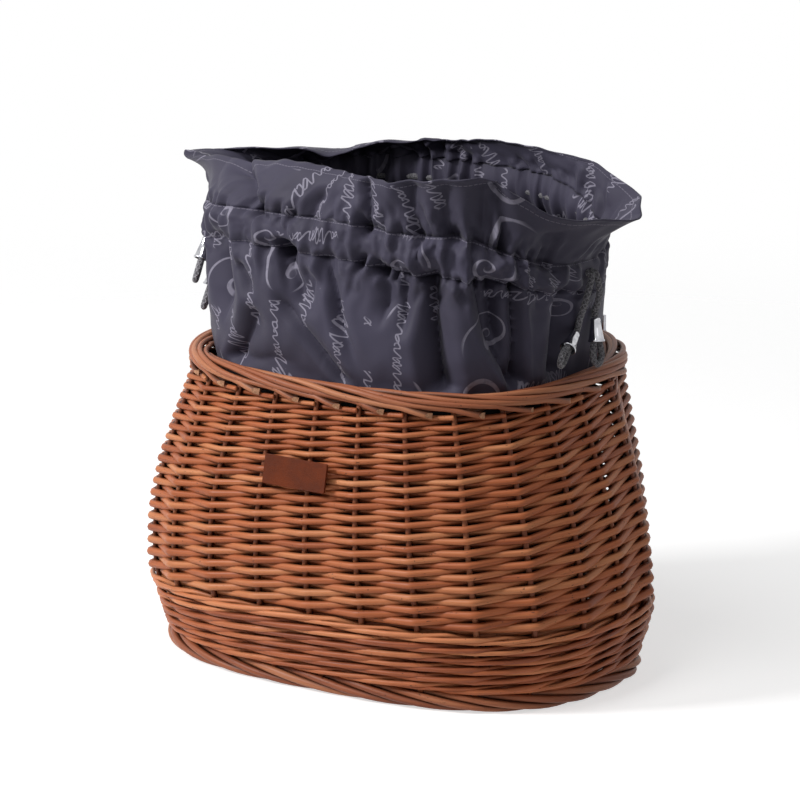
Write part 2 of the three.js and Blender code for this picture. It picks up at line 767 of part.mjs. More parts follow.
function ribbonShape(points, thickness) {
  const offsets = points.map((point, i) => {
    const before = points[Math.max(i - 1, 0)];
    const after = points[Math.min(i + 1, points.length - 1)];
    const along = after.clone().sub(before).normalize();
    return new THREE.Vector2(-along.y, along.x).multiplyScalar(thickness / 2);
  });
  const left = points.map((point, i) => point.clone().add(offsets[i]));
  const right = points.map((point, i) => point.clone().sub(offsets[i])).reverse();
  return new THREE.Shape([...left, ...right]);
}

// Turns a drawing in the strap's plane into a solid that is centred on the strap
function acrossWall(shape, width) {
  const geometry = new THREE.ExtrudeGeometry(shape, { depth: width, bevelEnabled: false });
  geometry.translate(0, 0, -width / 2);
  geometry.applyMatrix4(new THREE.Matrix4().makeBasis(
    new THREE.Vector3(0, 1, 0),
    new THREE.Vector3(0, 0, 1),
    new THREE.Vector3(1, 0, 0),
  ));
  return geometry;
}

function strapGeometry() {
  const corners = [
    [buckleOut + barSeat, heelBar - foldedEnd],
    [buckleOut + barSeat, heelBar + barSeat],
    [strapOutside, heelBar + barSeat],
    [strapOutside, strapFoot],
    [strapWayDown + strapHalf, strapFoot],
    [strapWayDown, strapSlitHeight],
    [strapInside, strapSlitHeight],
    [strapInside, strapHead],
    [strapOutside, strapHead],
    [strapOutside, frontBar - buckleBar],
    [tailOut, heelBar + buckleBar],
    [tailOut, heelBar - strapTail],
  ].map(([out, up]) => new THREE.Vector2(out, up));
  const outline = ribbonShape(roundedLine(corners, strapBend, 3), strapThickness);
  const strap = toSolid(acrossWall(outline, strapWidth));

  // One slot lets the prong round the heel bar and through the tail
  const slotIn = strapOutside - strapThickness;
  const slotOut = prongBack + prongThickness + fitGap;
  const slotFoot = heelBar - barSeat - 2 * fitGap;
  const slotHead = frontBar + buckleBar;
  const slot = new THREE.BoxGeometry(prongWidth + 2 * prongSlotGap, slotOut - slotIn, slotHead - slotFoot);
  slot.translate(0, (slotIn + slotOut) / 2, (slotFoot + slotHead) / 2);
  return toGeometry(strap.subtract(toSolid(slot)));
}

function buckleGeometry() {
  const halfOpening = strapWidth / 2 + buckleSideGap;
  const outer = [halfOpening + buckleBar, (frontBar - heelBar + buckleBar) / 2];
  const inner = [halfOpening, buckleOpening / 2];
  const rectangle = ([x, z], Kind) => new Kind([
    new THREE.Vector2(-x, -z), new THREE.Vector2(x, -z), new THREE.Vector2(x, z), new THREE.Vector2(-x, z),
  ]);
  const shape = rectangle(outer, THREE.Shape);
  shape.holes.push(rectangle(inner, THREE.Path));
  const geometry = new THREE.ExtrudeGeometry(shape, { depth: buckleBar, bevelEnabled: false });
  geometry.rotateX(Math.PI / 2);
  geometry.translate(0, buckleOut + buckleBar / 2, (heelBar + frontBar) / 2);
  return geometry;
}

function prongGeometry() {
  const eyeInner = buckleBar / Math.SQRT2 + fitGap;
  const eyeOuter = eyeInner + prongThickness * 0.6;
  const eyeShape = circleShape(eyeOuter, 12);
  eyeShape.holes.push(new THREE.Path(circleShape(eyeInner, 12).getPoints()));
  const eye = acrossWall(eyeShape, prongWidth);
  eye.translate(0, buckleOut, heelBar);
  const foot = heelBar + eyeInner * 0.8;
  const tip = frontBar + buckleBar / 2 + 1;
  const tongue = new THREE.BoxGeometry(prongWidth, prongThickness, tip - foot);
  tongue.translate(0, prongBack + prongThickness / 2, (foot + tip) / 2);
  return toGeometry(toSolid(eye).add(toSolid(tongue)));
}

// Each strap sits midway between two stakes at the back
for (const [side, place] of [['left', stakeCount / 2 + 1.5], ['right', stakeCount / 2 - 1.5]]) {
  const angle = placeAngle(place);
  const seat = planPoint(angle, rimLine);
  const normal = planNormal(angle, rimLine);
  const turn = Math.atan2(normal.y, normal.x) - Math.PI / 2;
  const pieces = [
    ['handlebar_strap', strapGeometry(), leather()],
    ['buckle_frame', buckleGeometry(), steel()],
    ['buckle_prong', prongGeometry(), steel()],
  ];
  for (const [name, geometry, material] of pieces) {
    geometry.rotateZ(turn);
    geometry.translate(seat.x, seat.y, 0);
    addPiece(`${name}_${side}`, geometry, material);
  }
}

export default basket;
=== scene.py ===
import bpy, bmesh, math, random
from mathutils import Vector, Matrix, noise


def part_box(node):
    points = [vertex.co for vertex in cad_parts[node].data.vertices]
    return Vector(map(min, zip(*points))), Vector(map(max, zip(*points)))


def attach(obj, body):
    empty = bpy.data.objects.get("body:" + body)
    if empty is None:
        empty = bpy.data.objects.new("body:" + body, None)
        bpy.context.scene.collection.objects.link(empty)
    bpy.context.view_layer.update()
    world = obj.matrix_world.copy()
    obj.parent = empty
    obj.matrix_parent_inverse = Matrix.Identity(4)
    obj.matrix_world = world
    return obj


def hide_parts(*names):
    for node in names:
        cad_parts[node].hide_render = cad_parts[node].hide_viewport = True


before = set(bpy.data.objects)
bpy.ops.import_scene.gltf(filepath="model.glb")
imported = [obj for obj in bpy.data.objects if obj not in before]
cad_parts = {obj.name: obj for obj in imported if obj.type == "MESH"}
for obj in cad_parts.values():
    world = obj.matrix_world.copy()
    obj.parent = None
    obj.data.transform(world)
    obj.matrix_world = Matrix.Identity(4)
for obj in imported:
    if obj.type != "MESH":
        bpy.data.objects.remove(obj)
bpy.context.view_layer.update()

scene = bpy.context.scene
scene.view_settings.view_transform = "Standard"


# Small helpers
def paint(code):  # a written screen colour as a linear one
    parts = [int(code[i:i + 2], 16) / 255 for i in (1, 3, 5)]
    return tuple(c / 12.92 if c <= 0.04045 else ((c + 0.055) / 1.055) ** 2.4 for c in parts) + (1,)


def mix(a, b, t):
    return a + (b - a) * t


def ease(t):
    t = min(max(t, 0), 1)
    return t * t * (3 - 2 * t)


def wobble(*place):  # smooth noise from -1 to 1
    return noise.noise(Vector(place))


def addObject(name, data):
    thing = bpy.data.objects.new(name, data)
    scene.collection.objects.link(thing)
    return thing


def meshFrom(bm, name, material, smooth=True):
    mesh = bpy.data.meshes.new(name)
    for face in bm.faces:
        face.smooth = smooth
    bm.to_mesh(mesh)
    bm.free()
    for finish in material if isinstance(material, list) else [material]:
        mesh.materials.append(finish)
    return addObject(name, mesh)


def joinObjects(name, things):
    with bpy.context.temp_override(active_object=things[0], selected_editable_objects=things,
                                   object=things[0], selected_objects=things):
        bpy.ops.object.join()
    things[0].name = name
    return things[0]


def dressNode(name, finish):  # a solid that stays gets its material
    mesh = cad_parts[name].data
    mesh.materials.clear()
    mesh.materials.append(finish)


# Camera
shot = {
    "turn": 32.69,  # degrees to the right of the front
    "rise": 14.87,
    "distance": 4.5,
    "lens": 262.0,
    "target": (-0.0072, -0.0142, 0.2000),
}


def placeCamera():
    turn, rise = math.radians(shot["turn"]), math.radians(shot["rise"])
    look = Vector((-math.sin(turn) * math.cos(rise), math.cos(turn) * math.cos(rise), -math.sin(rise)))
    camera = bpy.data.cameras.new("camera")
    camera.lens = shot["lens"]
    camera.sensor_width = 36
    camera.clip_end = 100
    holder = addObject("camera", camera)
    holder.location = Vector(shot["target"]) - look * shot["distance"]
    holder.rotation_euler = look.to_track_quat("-Z", "Y").to_euler()
    scene.camera = holder


placeCamera()
print("camera placed")


# Shader building
class Nodes:  # adds nodes to one tree and joins them
    def __init__(self, tree):
        self.tree = tree

    def add(self, kind, *inputs, out=0, **values):
        node = self.tree.nodes.new(kind)
        for key, value in values.items():
            setattr(node, key, value)
        for key, value in enumerate(inputs):
            self.put(node, key, value)
        return node.outputs[out]

    def put(self, node, key, value):
        if value is None:
            return
        if isinstance(value, bpy.types.NodeSocket):
            self.tree.links.new(value, node.inputs[key])
        else:
            node.inputs[key].default_value = value

    def math(self, operation, a, b=None, c=None):
        return self.add("ShaderNodeMath", a, b, c, operation=operation)

    def vector(self, operation, a, b=None, out=0):
        return self.add("ShaderNodeVectorMath", a, b, operation=operation, out=out)

    def blend(self, factor, a, b):  # of two colours
        node = self.tree.nodes.new("ShaderNodeMix")
        node.data_type = "RGBA"
        for key, value in ((0, factor), (6, a), (7, b)):
            self.put(node, key, value)
        return node.outputs[2]

    def ramp(self, value, low, high, lowOut=0.0, highOut=1.0):
        node = self.tree.nodes.new("ShaderNodeMapRange")
        node.interpolation_type = "SMOOTHSTEP"
        for key, item in enumerate((value, low, high, lowOut, highOut)):
            self.put(node, key, item)
        return node.outputs[0]

    def noise(self, place, scale, detail=2.0, rough=0.5):
        return self.add("ShaderNodeTexNoise", place, None, scale, detail, rough)


def newGroup(name, inputs, outputs):
    tree = bpy.data.node_groups.new(name, "ShaderNodeTree")
    for label, kind, value in inputs:
        socket = tree.interface.new_socket(label, in_out="INPUT", socket_type=kind)
        if value is not None:
            socket.default_value = value
    for label, kind in outputs:
        tree.interface.new_socket(label, in_out="OUTPUT", socket_type=kind)
    nodes = Nodes(tree)
    start = tree.nodes.new("NodeGroupInput")
    end = tree.nodes.new("NodeGroupOutput")
    return tree, nodes, {s.name: s for s in start.outputs}, end


def newMaterial(name, **values):
    material = bpy.data.materials.new(name)
    material.use_nodes = True
    tree = material.node_tree
    shader = tree.nodes["Principled BSDF"]
    for label, value in values.items():
        shader.inputs[label].default_value = value
    return material, Nodes(tree), shader


def placeGroup(nodes, group, **values):
    node = nodes.tree.nodes.new("ShaderNodeGroup")
    node.node_tree = group
    for label, value in values.items():
        nodes.put(node, label, value)
    return {s.name: s for s in node.outputs}


def addBump(nodes, shader, height, distance, strength=1.0):
    bump = nodes.tree.nodes.new("ShaderNodeBump")
    nodes.put(bump, "Strength", strength)
    nodes.put(bump, "Distance", distance)
    nodes.put(bump, "Height", height)
    nodes.put(shader, "Normal", bump.outputs["Normal"])


# Willow
def makeWillowGrainAndShade():
    tree, n, given, end = newGroup(
        "willowGrainAndShade",
        [("Place", "NodeSocketVector", None), ("Tone", "NodeSocketFloat", 0.5),
         ("Pale", "NodeSocketColor", (1, 1, 1, 1)), ("Warm", "NodeSocketColor", (1, 1, 1, 1)),
         ("Deep", "NodeSocketColor", (0, 0, 0, 1)), ("Speck", "NodeSocketColor", (0, 0, 0, 1)),
         ("Facing", "NodeSocketFloat", 1.0)],
        [("Color", "NodeSocketColor"), ("Roughness", "NodeSocketFloat"), ("Height", "NodeSocketFloat")])
    place, tone = given["Place"], given["Tone"]
    streaks = n.noise(n.vector("MULTIPLY", place, (22, 620, 620)), 1, 3, 0.6)
    patches = n.noise(n.vector("MULTIPLY", place, (14, 60, 60)), 1, 2, 0.5)
    fibres = n.noise(n.vector("MULTIPLY", place, (90, 2400, 2400)), 1, 2, 0.6)
    level = n.math("ADD", n.math("MULTIPLY", tone, 0.42), n.math("MULTIPLY", streaks, 0.5))
    level = n.math("ADD", level, n.math("MULTIPLY", patches, 0.34))
    body = n.blend(n.ramp(level, 0.3, 0.62), given["Deep"], given["Warm"])
    body = n.blend(n.ramp(level, 0.56, 0.95), body, given["Pale"])
    dots = n.noise(n.vector("MULTIPLY", place, (420, 900, 900)), 1, 1, 0.5)
    rare = n.noise(n.vector("MULTIPLY", place, (45, 90, 90)), 1, 1, 0.5)
    mark = n.math("MULTIPLY", n.ramp(dots, 0.66, 0.74), n.ramp(rare, 0.5, 0.6))
    colour = n.blend(n.math("MULTIPLY", mark, 0.85), body, given["Speck"])
    close = n.ramp(given["Facing"], 0.38, 0.82, 0.78, 0.0)  # painted shade: darker toward the rods' sides and backs, where they lie close
    colour = n.blend(close, colour, given["Speck"])
    roughness = n.math("ADD", 0.38, n.math("MULTIPLY", streaks, 0.22))
    height = n.math("ADD", n.math("MULTIPLY", streaks, 0.7), n.math("MULTIPLY", fibres, 0.3))
    height = n.math("SUBTRACT", height, n.math("MULTIPLY", mark, 0.6))
    for key, value in enumerate((colour, roughness, height)):
        n.put(end, key, value)
    return tree


willowGrainAndShade = makeWillowGrainAndShade()

willowTones = {
    "weave": {"Pale": "#d48c5e", "Warm": "#b7663c", "Deep": "#914826"},
    "waling": {"Pale": "#dc8f60", "Warm": "#ba683f", "Deep": "#854124"},
    "stake": {"Pale": "#b06e49", "Warm": "#935334", "Deep": "#703921"},
    "border": {"Pale": "#c17f5a", "Warm": "#a35e3e", "Deep": "#7d4028"},
}
willowFinish = {"Coat Weight": 0.05, "Coat Roughness": 0.35, "Specular IOR Level": 0.3}
willowSpeck = "#34180c"  # dark specks, and the painted shade between rods


def willowMaterial(name, tones):
    material, n, shader = newMaterial(name, **willowFinish)
    place = n.add("ShaderNodeAttribute", attribute_name="rodPlace", out=1)
    tone = n.add("ShaderNodeAttribute", attribute_name="rodTone", out=2)
    # which way each point of a rod faces, for the painted shade between rods
    face = n.add("ShaderNodeAttribute", attribute_name="rodShadeFacing", out=2)
    grain = placeGroup(n, willowGrainAndShade, Place=place, Tone=tone, Facing=face, Speck=paint(willowSpeck),
                       **{label: paint(code) for label, code in tones.items()})
    n.put(shader, "Base Color", grain["Color"])
    n.put(shader, "Roughness", grain["Roughness"])
    addBump(n, shader, grain["Height"], 0.00025, 0.7)
    return material


willow = {name: willowMaterial("willow_" + name, tones) for name, tones in willowTones.items()}


def cutWoodMaterial():
    material, n, shader = newMaterial("willow_cut", Roughness=0.75)
    place = n.add("ShaderNodeTexCoord", out=3)
    pores = n.noise(place, 1900, 2, 0.6)
    rings = n.noise(place, 420, 1, 0.5)
    colour = n.blend(n.ramp(pores, 0.35, 0.65), paint("#c48a66"), paint("#e2b08a"))
    colour = n.blend(n.ramp(rings, 0.45, 0.7, 0, 0.5), colour, paint("#8d5f45"))
    n.put(shader, "Base Color", colour)
    addBump(n, shader, pores, 0.0003)
    return material


willow["cut"] = cutWoodMaterial()


# Plan of the basket, the same as the solids'
plan = {
    "frontFullness": 2.8,
    "backFullness": 2.5,
    "centreY": -0.0096,
    "stakeCount": 24,
    "firstStakeShift": 0.004,
    "heights": (0.008, 0.073, 0.121, 0.237),
    "foot": (0.183, 0.131, 0.098),  # half length, front depth, back depth
    "hip": (0.198, 0.150, 0.104),
    "belly": (0.193, 0.155, 0.106),
    "rim": (0.1565, 0.135, 0.133),
}


def planPoint(angle, line):
    c, s = math.cos(angle), math.sin(angle)
    power = 2 / (plan["frontFullness"] if s < 0 else plan["backFullness"])
    depth = line[1] if s < 0 else line[2]
    return Vector((math.copysign(abs(c) ** power, c) * line[0],
                   math.copysign(abs(s) ** power, s) * depth + plan["centreY"], 0))


def planNormal(angle, line):
    along = (planPoint(angle + 0.004, line) - planPoint(angle - 0.004, line)).normalized()
    return Vector((along.y, -along.x, 0))


def throughHeights(heights, values):
    slopes = []
    for i, height in enumerate(heights):
        before = (values[i] - values[i - 1]) / (height - heights[i - 1]) if i > 0 else None
        after = (values[i + 1] - values[i]) / (heights[i + 1] - height) if i < len(heights) - 1 else None
        if before is None or after is None:
            slopes.append(after if before is None else before)
        else:
            slopes.append(2 * before * after / (before + after) if before * after > 0 else 0)

    def value(z):
        i = max(0, min(len(heights) - 2, sum(h <= z for h in heights) - 1))
        width = heights[i + 1] - heights[i]
        u = min(max((z - heights[i]) / width, 0), 1)
        return (values[i] * (1 + 2 * u) * (1 - u) ** 2 + slopes[i] * width * u * (1 - u) ** 2
                + values[i + 1] * u * u * (3 - 2 * u) + slopes[i + 1] * width * u * u * (u - 1))
    return value


wallParts = [throughHeights(plan["heights"], [plan[level][i] for level in ("foot", "hip", "belly", "rim")])
             for i in range(3)]


def wallLine(z):
    return tuple(part(z) for part in wallParts)


def lengthsRound(start, line, steps=1440):  # angles once round a line, and the lengths reached there
    at = [start + 2 * math.pi * i / steps for i in range(steps + 1)]
    spots = [planPoint(a, line) for a in at]
    reached = [0.0]
    for a, b in zip(spots, spots[1:]):
        reached.append(reached[-1] + (b - a).length)
    return at, reached


roundAngles, roundLengths = lengthsRound(-math.pi / 2, plan["belly"])
roundLength = roundLengths[-1]


def placeAngle(place):  # place is counted in stakes, evenly along the belly from the front middle
    wanted = (place * roundLength / plan["stakeCount"] + plan["firstStakeShift"]) % roundLength
    low, high = 0, len(roundLengths) - 1
    while high - low > 1:
        middle = (low + high) // 2
        low, high = (middle, high) if roundLengths[middle] <= wanted else (low, middle)
    part = (wanted - roundLengths[low]) / (roundLengths[high] - roundLengths[low])
    return mix(roundAngles[low], roundAngles[high], part)


def wallSpot(place, z, out=0.0, line=None):
    angle, line = placeAngle(place), line or wallLine(z)
    spot = planPoint(angle, line) + planNormal(angle, line) * out
    spot.z = z
    return spot


def outward(place, z):
    return planNormal(placeAngle(place), wallLine(z))


# Rods: round sections along lines of points, with the grain's place on each, and how far each point faces
# outward for painted shade
def buildRods(name, rods, sides, material, twist="Z_UP"):
    curve = bpy.data.curves.new(name + "Line", "CURVE")
    curve.dimensions = "3D"
    curve.bevel_depth = 1.0
    curve.bevel_resolution = (sides - 4) // 2
    curve.twist_mode = twist
    for rod in rods:
        spline = curve.splines.new("POLY")
        spline.points.add(len(rod["points"]) - 1)
        spline.points.foreach_set("co", [c for p in rod["points"] for c in (p.x, p.y, p.z, 1)])
        spline.points.foreach_set("radius", rod["radii"])
    line = addObject(name + "Line", curve)
    mesh = bpy.data.meshes.new_from_object(line.evaluated_get(bpy.context.evaluated_depsgraph_get()))
    bpy.data.objects.remove(line)
    bpy.data.curves.remove(curve)
    ringCount = sum(len(rod["points"]) for rod in rods)
    assert len(mesh.vertices) == ringCount * sides, (name, len(mesh.vertices), ringCount, sides)
    places, tones, faces, index = [], [], [], 0
    for rod in rods:
        along, outs = rod["start"], rod["outs"]
        for i, point in enumerate(rod["points"]):
            if i:
                along += (point - rod["points"][i - 1]).length
            radius = rod["radii"][i]
            for side in range(sides):
                turn = 2 * math.pi * side / sides
                places += [along, radius * math.cos(turn) + rod["seed"], radius * math.sin(turn)]
                tones.append(rod["tone"])
                # how far each point faces outward, for the painted shade between rods
                away = mesh.vertices[index].co - point
                faces.append(0.5 + away.dot(outs[i]) / radius / 2 if outs else 1.0)
                index += 1
    mesh.attributes.new("rodPlace", "FLOAT_VECTOR", "POINT").data.foreach_set("vector", places)
    mesh.attributes.new("rodTone", "FLOAT", "POINT").data.foreach_set("value", tones)
    mesh.attributes.new("rodShadeFacing", "FLOAT", "POINT").data.foreach_set("value", faces)  # 1 outward, 0 inward; sets the painted shade between rods
    bm = bmesh.new()
    bm.from_mesh(mesh)
    bmesh.ops.holes_fill(bm, edges=[e for e in bm.edges if e.is_boundary])
    bm.to_mesh(mesh)
    bm.free()
    mesh.polygons.foreach_set("use_smooth", [len(p.vertices) == 4 for p in mesh.polygons])
    for layer in list(mesh.uv_layers):
        mesh.uv_layers.remove(layer)
    mesh.materials.clear()
    for finish in material if isinstance(material, list) else [material]:
        mesh.materials.append(finish)
    mesh.name = name
    return addObject(name, mesh)


def roundEnds(points, radii):  # blunt, slightly rounded rod ends
    first = (points[0] - points[1]).normalized() * radii[0]
    last = (points[-1] - points[-2]).normalized() * radii[-1]
    points = [points[0] + first * 0.45, points[0] + first * 0.3] + points + [
        points[-1] + last * 0.3, points[-1] + last * 0.45]
    radii = [radii[0] * 0.55, radii[0] * 0.86] + radii + [radii[-1] * 0.86, radii[-1] * 0.55]
    return points, radii


def plainRod(points, radii, outs, dice):
    return {
        "points": points,
        "radii": radii,
        "outs": outs,
        "tone": dice.random(),
        "seed": dice.random() * 0.5,
        "start": dice.random() * 3,
    }


def newRod(points, radii, outs, dice):
    points, radii = roundEnds(points, radii)
    if outs:
        outs = [outs[0]] * 2 + outs + [outs[-1]] * 2
    return plainRod(points, radii, outs, dice)


# Stakes
stakes = {
    "radius": 0.0025,
    "taper": 0.85,
    "foot": 0.012,
    "head": 0.234,
    "rings": 26,
    "sway": 0.012,  # in spaces between stakes
}


def buildStakes():
    dice = random.Random(11)
    rods = []
    for k in range(plan["stakeCount"]):
        points, radii, outs = [], [], []
        for i in range(stakes["rings"] + 1):
            z = mix(stakes["foot"], stakes["head"], i / stakes["rings"])
            sway = stakes["sway"] * wobble(z * 14, k * 3.7, 0.5)
            points.append(wallSpot(k + sway, z))
            taper = mix(1.0, stakes["taper"], i / stakes["rings"])
            radii.append(stakes["radius"] * taper * (1 + 0.05 * wobble(z * 30, k, 7)))
            outs.append(outward(k, z))
        rods.append(newRod(points, radii, outs, dice))
    piece = buildRods("sideStakes", rods, 10, willow["stake"], "MINIMUM")
    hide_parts(*[f"stake_{k + 1:02d}" for k in range(plan["stakeCount"])])
    return piece


# Waling and side weave
waling = {
    "rods": 3,
    "rounds": 6,
    "foot": 0.0152,
    "tops": (0.060, 0.057, 0.0675, 0.0635),  # back, left, front, right
    "thickness": 0.55,  # of a rod, against the height of a round
    "climb": 4,  # spaces at the back over which a rod climbs to the next round
    "thinnest": 0.0012,
}
weave = {
    "levels": 38,  # rods passing each stake, every other one in front
    "head": 0.2308,
    "strapHead": 0.2246,  # under the straps' slit
    "strapPlace": 1.5,  # in spaces from the back middle
    "lowPitch": 1.19,  # row height at the foot, against the mean
    "highPitch": 0.84,
    "fill": 1.19,  # rod thickness against row height
    "endFill": 0.2,  # more of it at the left and right ends
    "pressed": 0.84,  # the rods bed into the stakes a little
    "endPress": 0.2,  # and more at the left and right ends
    "thinnest": 0.0012,
}
spaces = plan["stakeCount"]  # between stakes, once round
riseShare = waling["climb"] / spaces


def walingTop(place):
    quarter = (place - spaces / 2) % spaces / (spaces / 4)
    tops = waling["tops"]
    i = int(quarter)
    return mix(tops[i % 4], tops[(i + 1) % 4], ease(quarter - i))


def climb(step):  # turns climbed after so many stakes from the back
    turns = step / spaces
    whole, part = math.floor(turns), turns % 1
    if part > 1 - riseShare / 2:
        return whole + ease((part - 1) / riseShare + 0.5)
    if part < riseShare / 2:
        return whole - 1 + ease(part / riseShare + 0.5)
    return whole


def weaveShare(level):  # of the band's height, at the foot of a row
    low, high, count = weave["lowPitch"], weave["highPitch"], weave["levels"]
    part = level / count
    return (low * part + (high - low) * part * part / 2) / (low + (high - low) / 2)


def softenKinks(points, share=0.5):
    soft = list(points)
    for i in range(1, len(points) - 1):
        near = min((points[i] - points[i - 1]).length, (points[i + 1] - points[i]).length)
        before = points[i] + (points[i - 1] - points[i]).normalized() * near
        after = points[i] + (points[i + 1] - points[i]).normalized() * near
        soft[i] = points[i] * (1 - share) + (before + after) * (share / 2)
    return soft


def strandThrough(spots, radii, outs, steps):  # straight from spot to spot, softly bent at each
    points, thick, facing = [], [], []
    for k in range(len(spots) - 1):
        for t in steps:
            points.append(spots[k].lerp(spots[k + 1], t))
            thick.append(mix(radii[k], radii[k + 1], t))
            facing.append(outs[k].lerp(outs[k + 1], t))
    points.append(spots[-1])
    thick.append(radii[-1])
    facing.append(outs[-1])
    return softenKinks(points), thick, facing


def splitTurns(first, last, shortest, longest, beat, dice):  # lengths of the rods that follow on each other
    cuts = [first]
    while cuts[-1] < last:
        end = cuts[-1] + beat * dice.randint(shortest, longest)
        cuts.append(last if last - end < beat * shortest * 0.6 else end)
    return list(zip(cuts, cuts[1:]))


def weaveSpot(place, level):  # height at a stake and row height
    foot = walingTop(place) + 0.0003
    nearStrap = 1 - abs(abs(place % spaces - spaces / 2) - weave["strapPlace"])
    head = mix(weave["head"], weave["strapHead"], ease(nearStrap * 1.6))
    low, high = weaveShare(level), weaveShare(level + 1)
    return mix(foot, head, (low + high) / 2), (high - low) * (head - foot)


def buildSideWeave():  # a rod starts at every stake and climbs one row at each stake that it passes
    pieces = []
    steps = (0, 0.05, 0.11, 0.24, 0.42, 0.58, 0.76, 0.89, 0.95)
    for half in range(2):
        dice = random.Random(21 + half)
        rods = []
        for start in range(half, spaces, 2):
            joint = dice.randint(8, 14) * 2
            for first, last in ((-1, joint), (joint, weave["levels"] - 1)):
                thickEnd, thinEnd = mix(1.0, 1.1, dice.random()), mix(0.86, 0.96, dice.random())
                spots, radii, outs = [], [], []
                for level in range(first, last + 1):
                    place = start + level
                    z, pitch = weaveSpot(place, level)
                    z += 0.0004 * wobble(level * 0.7, start * 1.7, 1)
                    part = (level - first) / (last - first)
                    ends = math.cos(placeAngle(place)) ** 2
                    fill = weave["fill"] + weave["endFill"] * ends
                    radius = pitch / 2 * fill * mix(thickEnd, thinEnd, part)
                    radius = max(weave["thinnest"], radius * (1 + 0.05 * wobble(level * 0.6, start * 2.3, 3)))
                    reach = (stakes["radius"] + radius) * (weave["pressed"] - weave["endPress"] * ends)
                    front = level > 0 and level % 2
                    spots.append(wallSpot(place, z, reach if front else -reach))
                    # behind a stake the out is shortened, which paints the rod darker there: painted shade
                    outs.append(outward(place, z) * (1 if front else 0.3))
                    radii.append(radius)
                rods.append(newRod(*strandThrough(spots, radii, outs, steps), dice))
        piece = buildRods(f"sideWeave_{half + 1}", rods, 8, willow["weave"])
        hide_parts(f"lower_weaver_{half + 1}", f"upper_weaver_{half + 1}")
        pieces.append(piece)
    return pieces


def buildWaling():
    steps = (0, 0.18, 0.4, 0.6, 0.82)
    # over one beat of three stakes, in half spaces from behind a stake: lift in round heights, and depth
    lifts = (0.02, -0.33, -0.17, 0.0, 0.17, 0.33)
    depths = (-1, 0.1, 1, 1.22, 1, 0.1)
    rods = []
    for rod in range(waling["rods"]):
        dice = random.Random(41 + rod)
        last = waling["rounds"] * spaces + 2
        first = (rod - 2) % 3 - 1
        for start, end in splitTurns(first, last, 5, 8, 3, dice):
            thickEnd, thinEnd = mix(1.0, 1.12, dice.random()), mix(0.62, 0.9, dice.random())
            spots, radii, outs = [], [], []
            for half in range(2 * start, 2 * end + 1):
                step = half / 2
                place = step + spaces / 2
                beat = (half - 2 * first) % 6
                foot, head = waling["foot"], walingTop(place)
                roundHeight = (head - foot) / waling["rounds"]
                middle = foot + roundHeight * (climb(step) + 0.5)
                taper = mix(thickEnd, thinEnd, (step - start) / (end - start))
                radius = roundHeight * waling["thickness"] / 2 * taper
                radius = max(radius, waling["thinnest"]) * (1 + 0.05 * wobble(half * 0.4, rod, 5))
                z = middle + roundHeight * (lifts[beat] + 0.05 * wobble(step * 0.8, rod * 4, 2))
                reach = stakes["radius"] + radius
                spots.append(wallSpot(place, max(z, foot + radius * 0.6), reach * depths[beat]))
                # behind a stake the out is shortened, which paints the rod darker there: painted shade
                outs.append(outward(place, z) * (1 if depths[beat] > 0 else 0.4))
                radii.append(radius)
            rods.append(newRod(*strandThrough(spots, radii, outs, steps), dice))
    piece = buildRods("walingRods", rods, 10, willow["waling"])
    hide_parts("waling_rod_1", "waling_rod_2", "waling_rod_3")
    return piece


# Foot and rim borders
# Each strand runs along so many spaces while it winds round the border's section; turns are in degrees
footBorder = {
    "centre": 0.0079,
    "width": 0.0178,
    "height": 0.0158,
    "strand": 0.0031,
    "rings": 30,
    "spaces": 5.9,
    "turns": (150, -170),
}
rimBorder = {
    "centre": 0.237,
    "width": 0.0198,
    "height": 0.0178,
    "strand": 0.0026,
    "rings": 44,
    "spaces": 6.6,
    "turns": (262, 150, -22, -64),  # rises, rolls over and ends under the border
    "shares": (0.22, 0.9),  # of its length, where one turn passes into the next
    "wander": 24,
    "swell": 0.0018,
    "drawnIn": 0.0022,  # on the way down
    "letOut": 0.0036,  # toward the cut end
    "proud": 0.0022,  # how far the cut end stands out
}


def sectionSpot(place, turn, border, line, strand, swell=0.0):
    angle = placeAngle(place)
    out = (border["width"] / 2 - strand + swell) * math.cos(turn)
    up = (border["height"] / 2 - strand + swell) * math.sin(turn)
    spot = planPoint(angle, line) + planNormal(angle, line) * out
    spot.z = border["centre"] + up
    return spot


def sectionOut(place, turn, line):
    out = planNormal(placeAngle(place), line) * math.cos(turn)
    out.z = math.sin(turn)
    return out


def buildFootBorder():
    dice = random.Random(61)
    rods = []
    for k in range(plan["stakeCount"]):
        points, radii, outs = [], [], []
        thick = footBorder["strand"] * mix(0.92, 1.06, dice.random())
        for i in range(footBorder["rings"] + 1):
            t = i / footBorder["rings"]
            place = k - 0.35 + footBorder["spaces"] * t
            turn = math.radians(mix(*footBorder["turns"], ease(t * 0.92 + 0.04)))
            spot = sectionSpot(place, turn, footBorder, plan["foot"], thick)
            spot.z = max(spot.z, thick * 0.98)
            points.append(spot)
            radii.append(thick * mix(1.0, 0.86, t))
            outs.append(sectionOut(place, turn, plan["foot"]))
        rods.append(newRod(points, radii, outs, dice))
    piece = buildRods("footBorder", rods, 12, willow["border"])
    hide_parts("foot_border")
    return piece


def rimTurn(t, k):
    rise, top, under, end = rimBorder["turns"]
    first, last = rimBorder["shares"]
    if t < first:
        return mix(rise, top, ease(t / first))
    if t < last:
        wander = rimBorder["wander"] * wobble(t * 3.4, k * 2.7, 4)
        return mix(top, under, (t - first) / (last - first)) + wander
    return mix(under, end, (t - last) / (1 - last))


def rimSwell(t, k):
    swell = rimBorder["swell"] * wobble(t * 4, k * 1.9, 9)
    swell -= rimBorder["drawnIn"] * ease((t - 0.6) / 0.25)
    return swell + rimBorder["letOut"] * ease((t - 0.88) / 0.12)


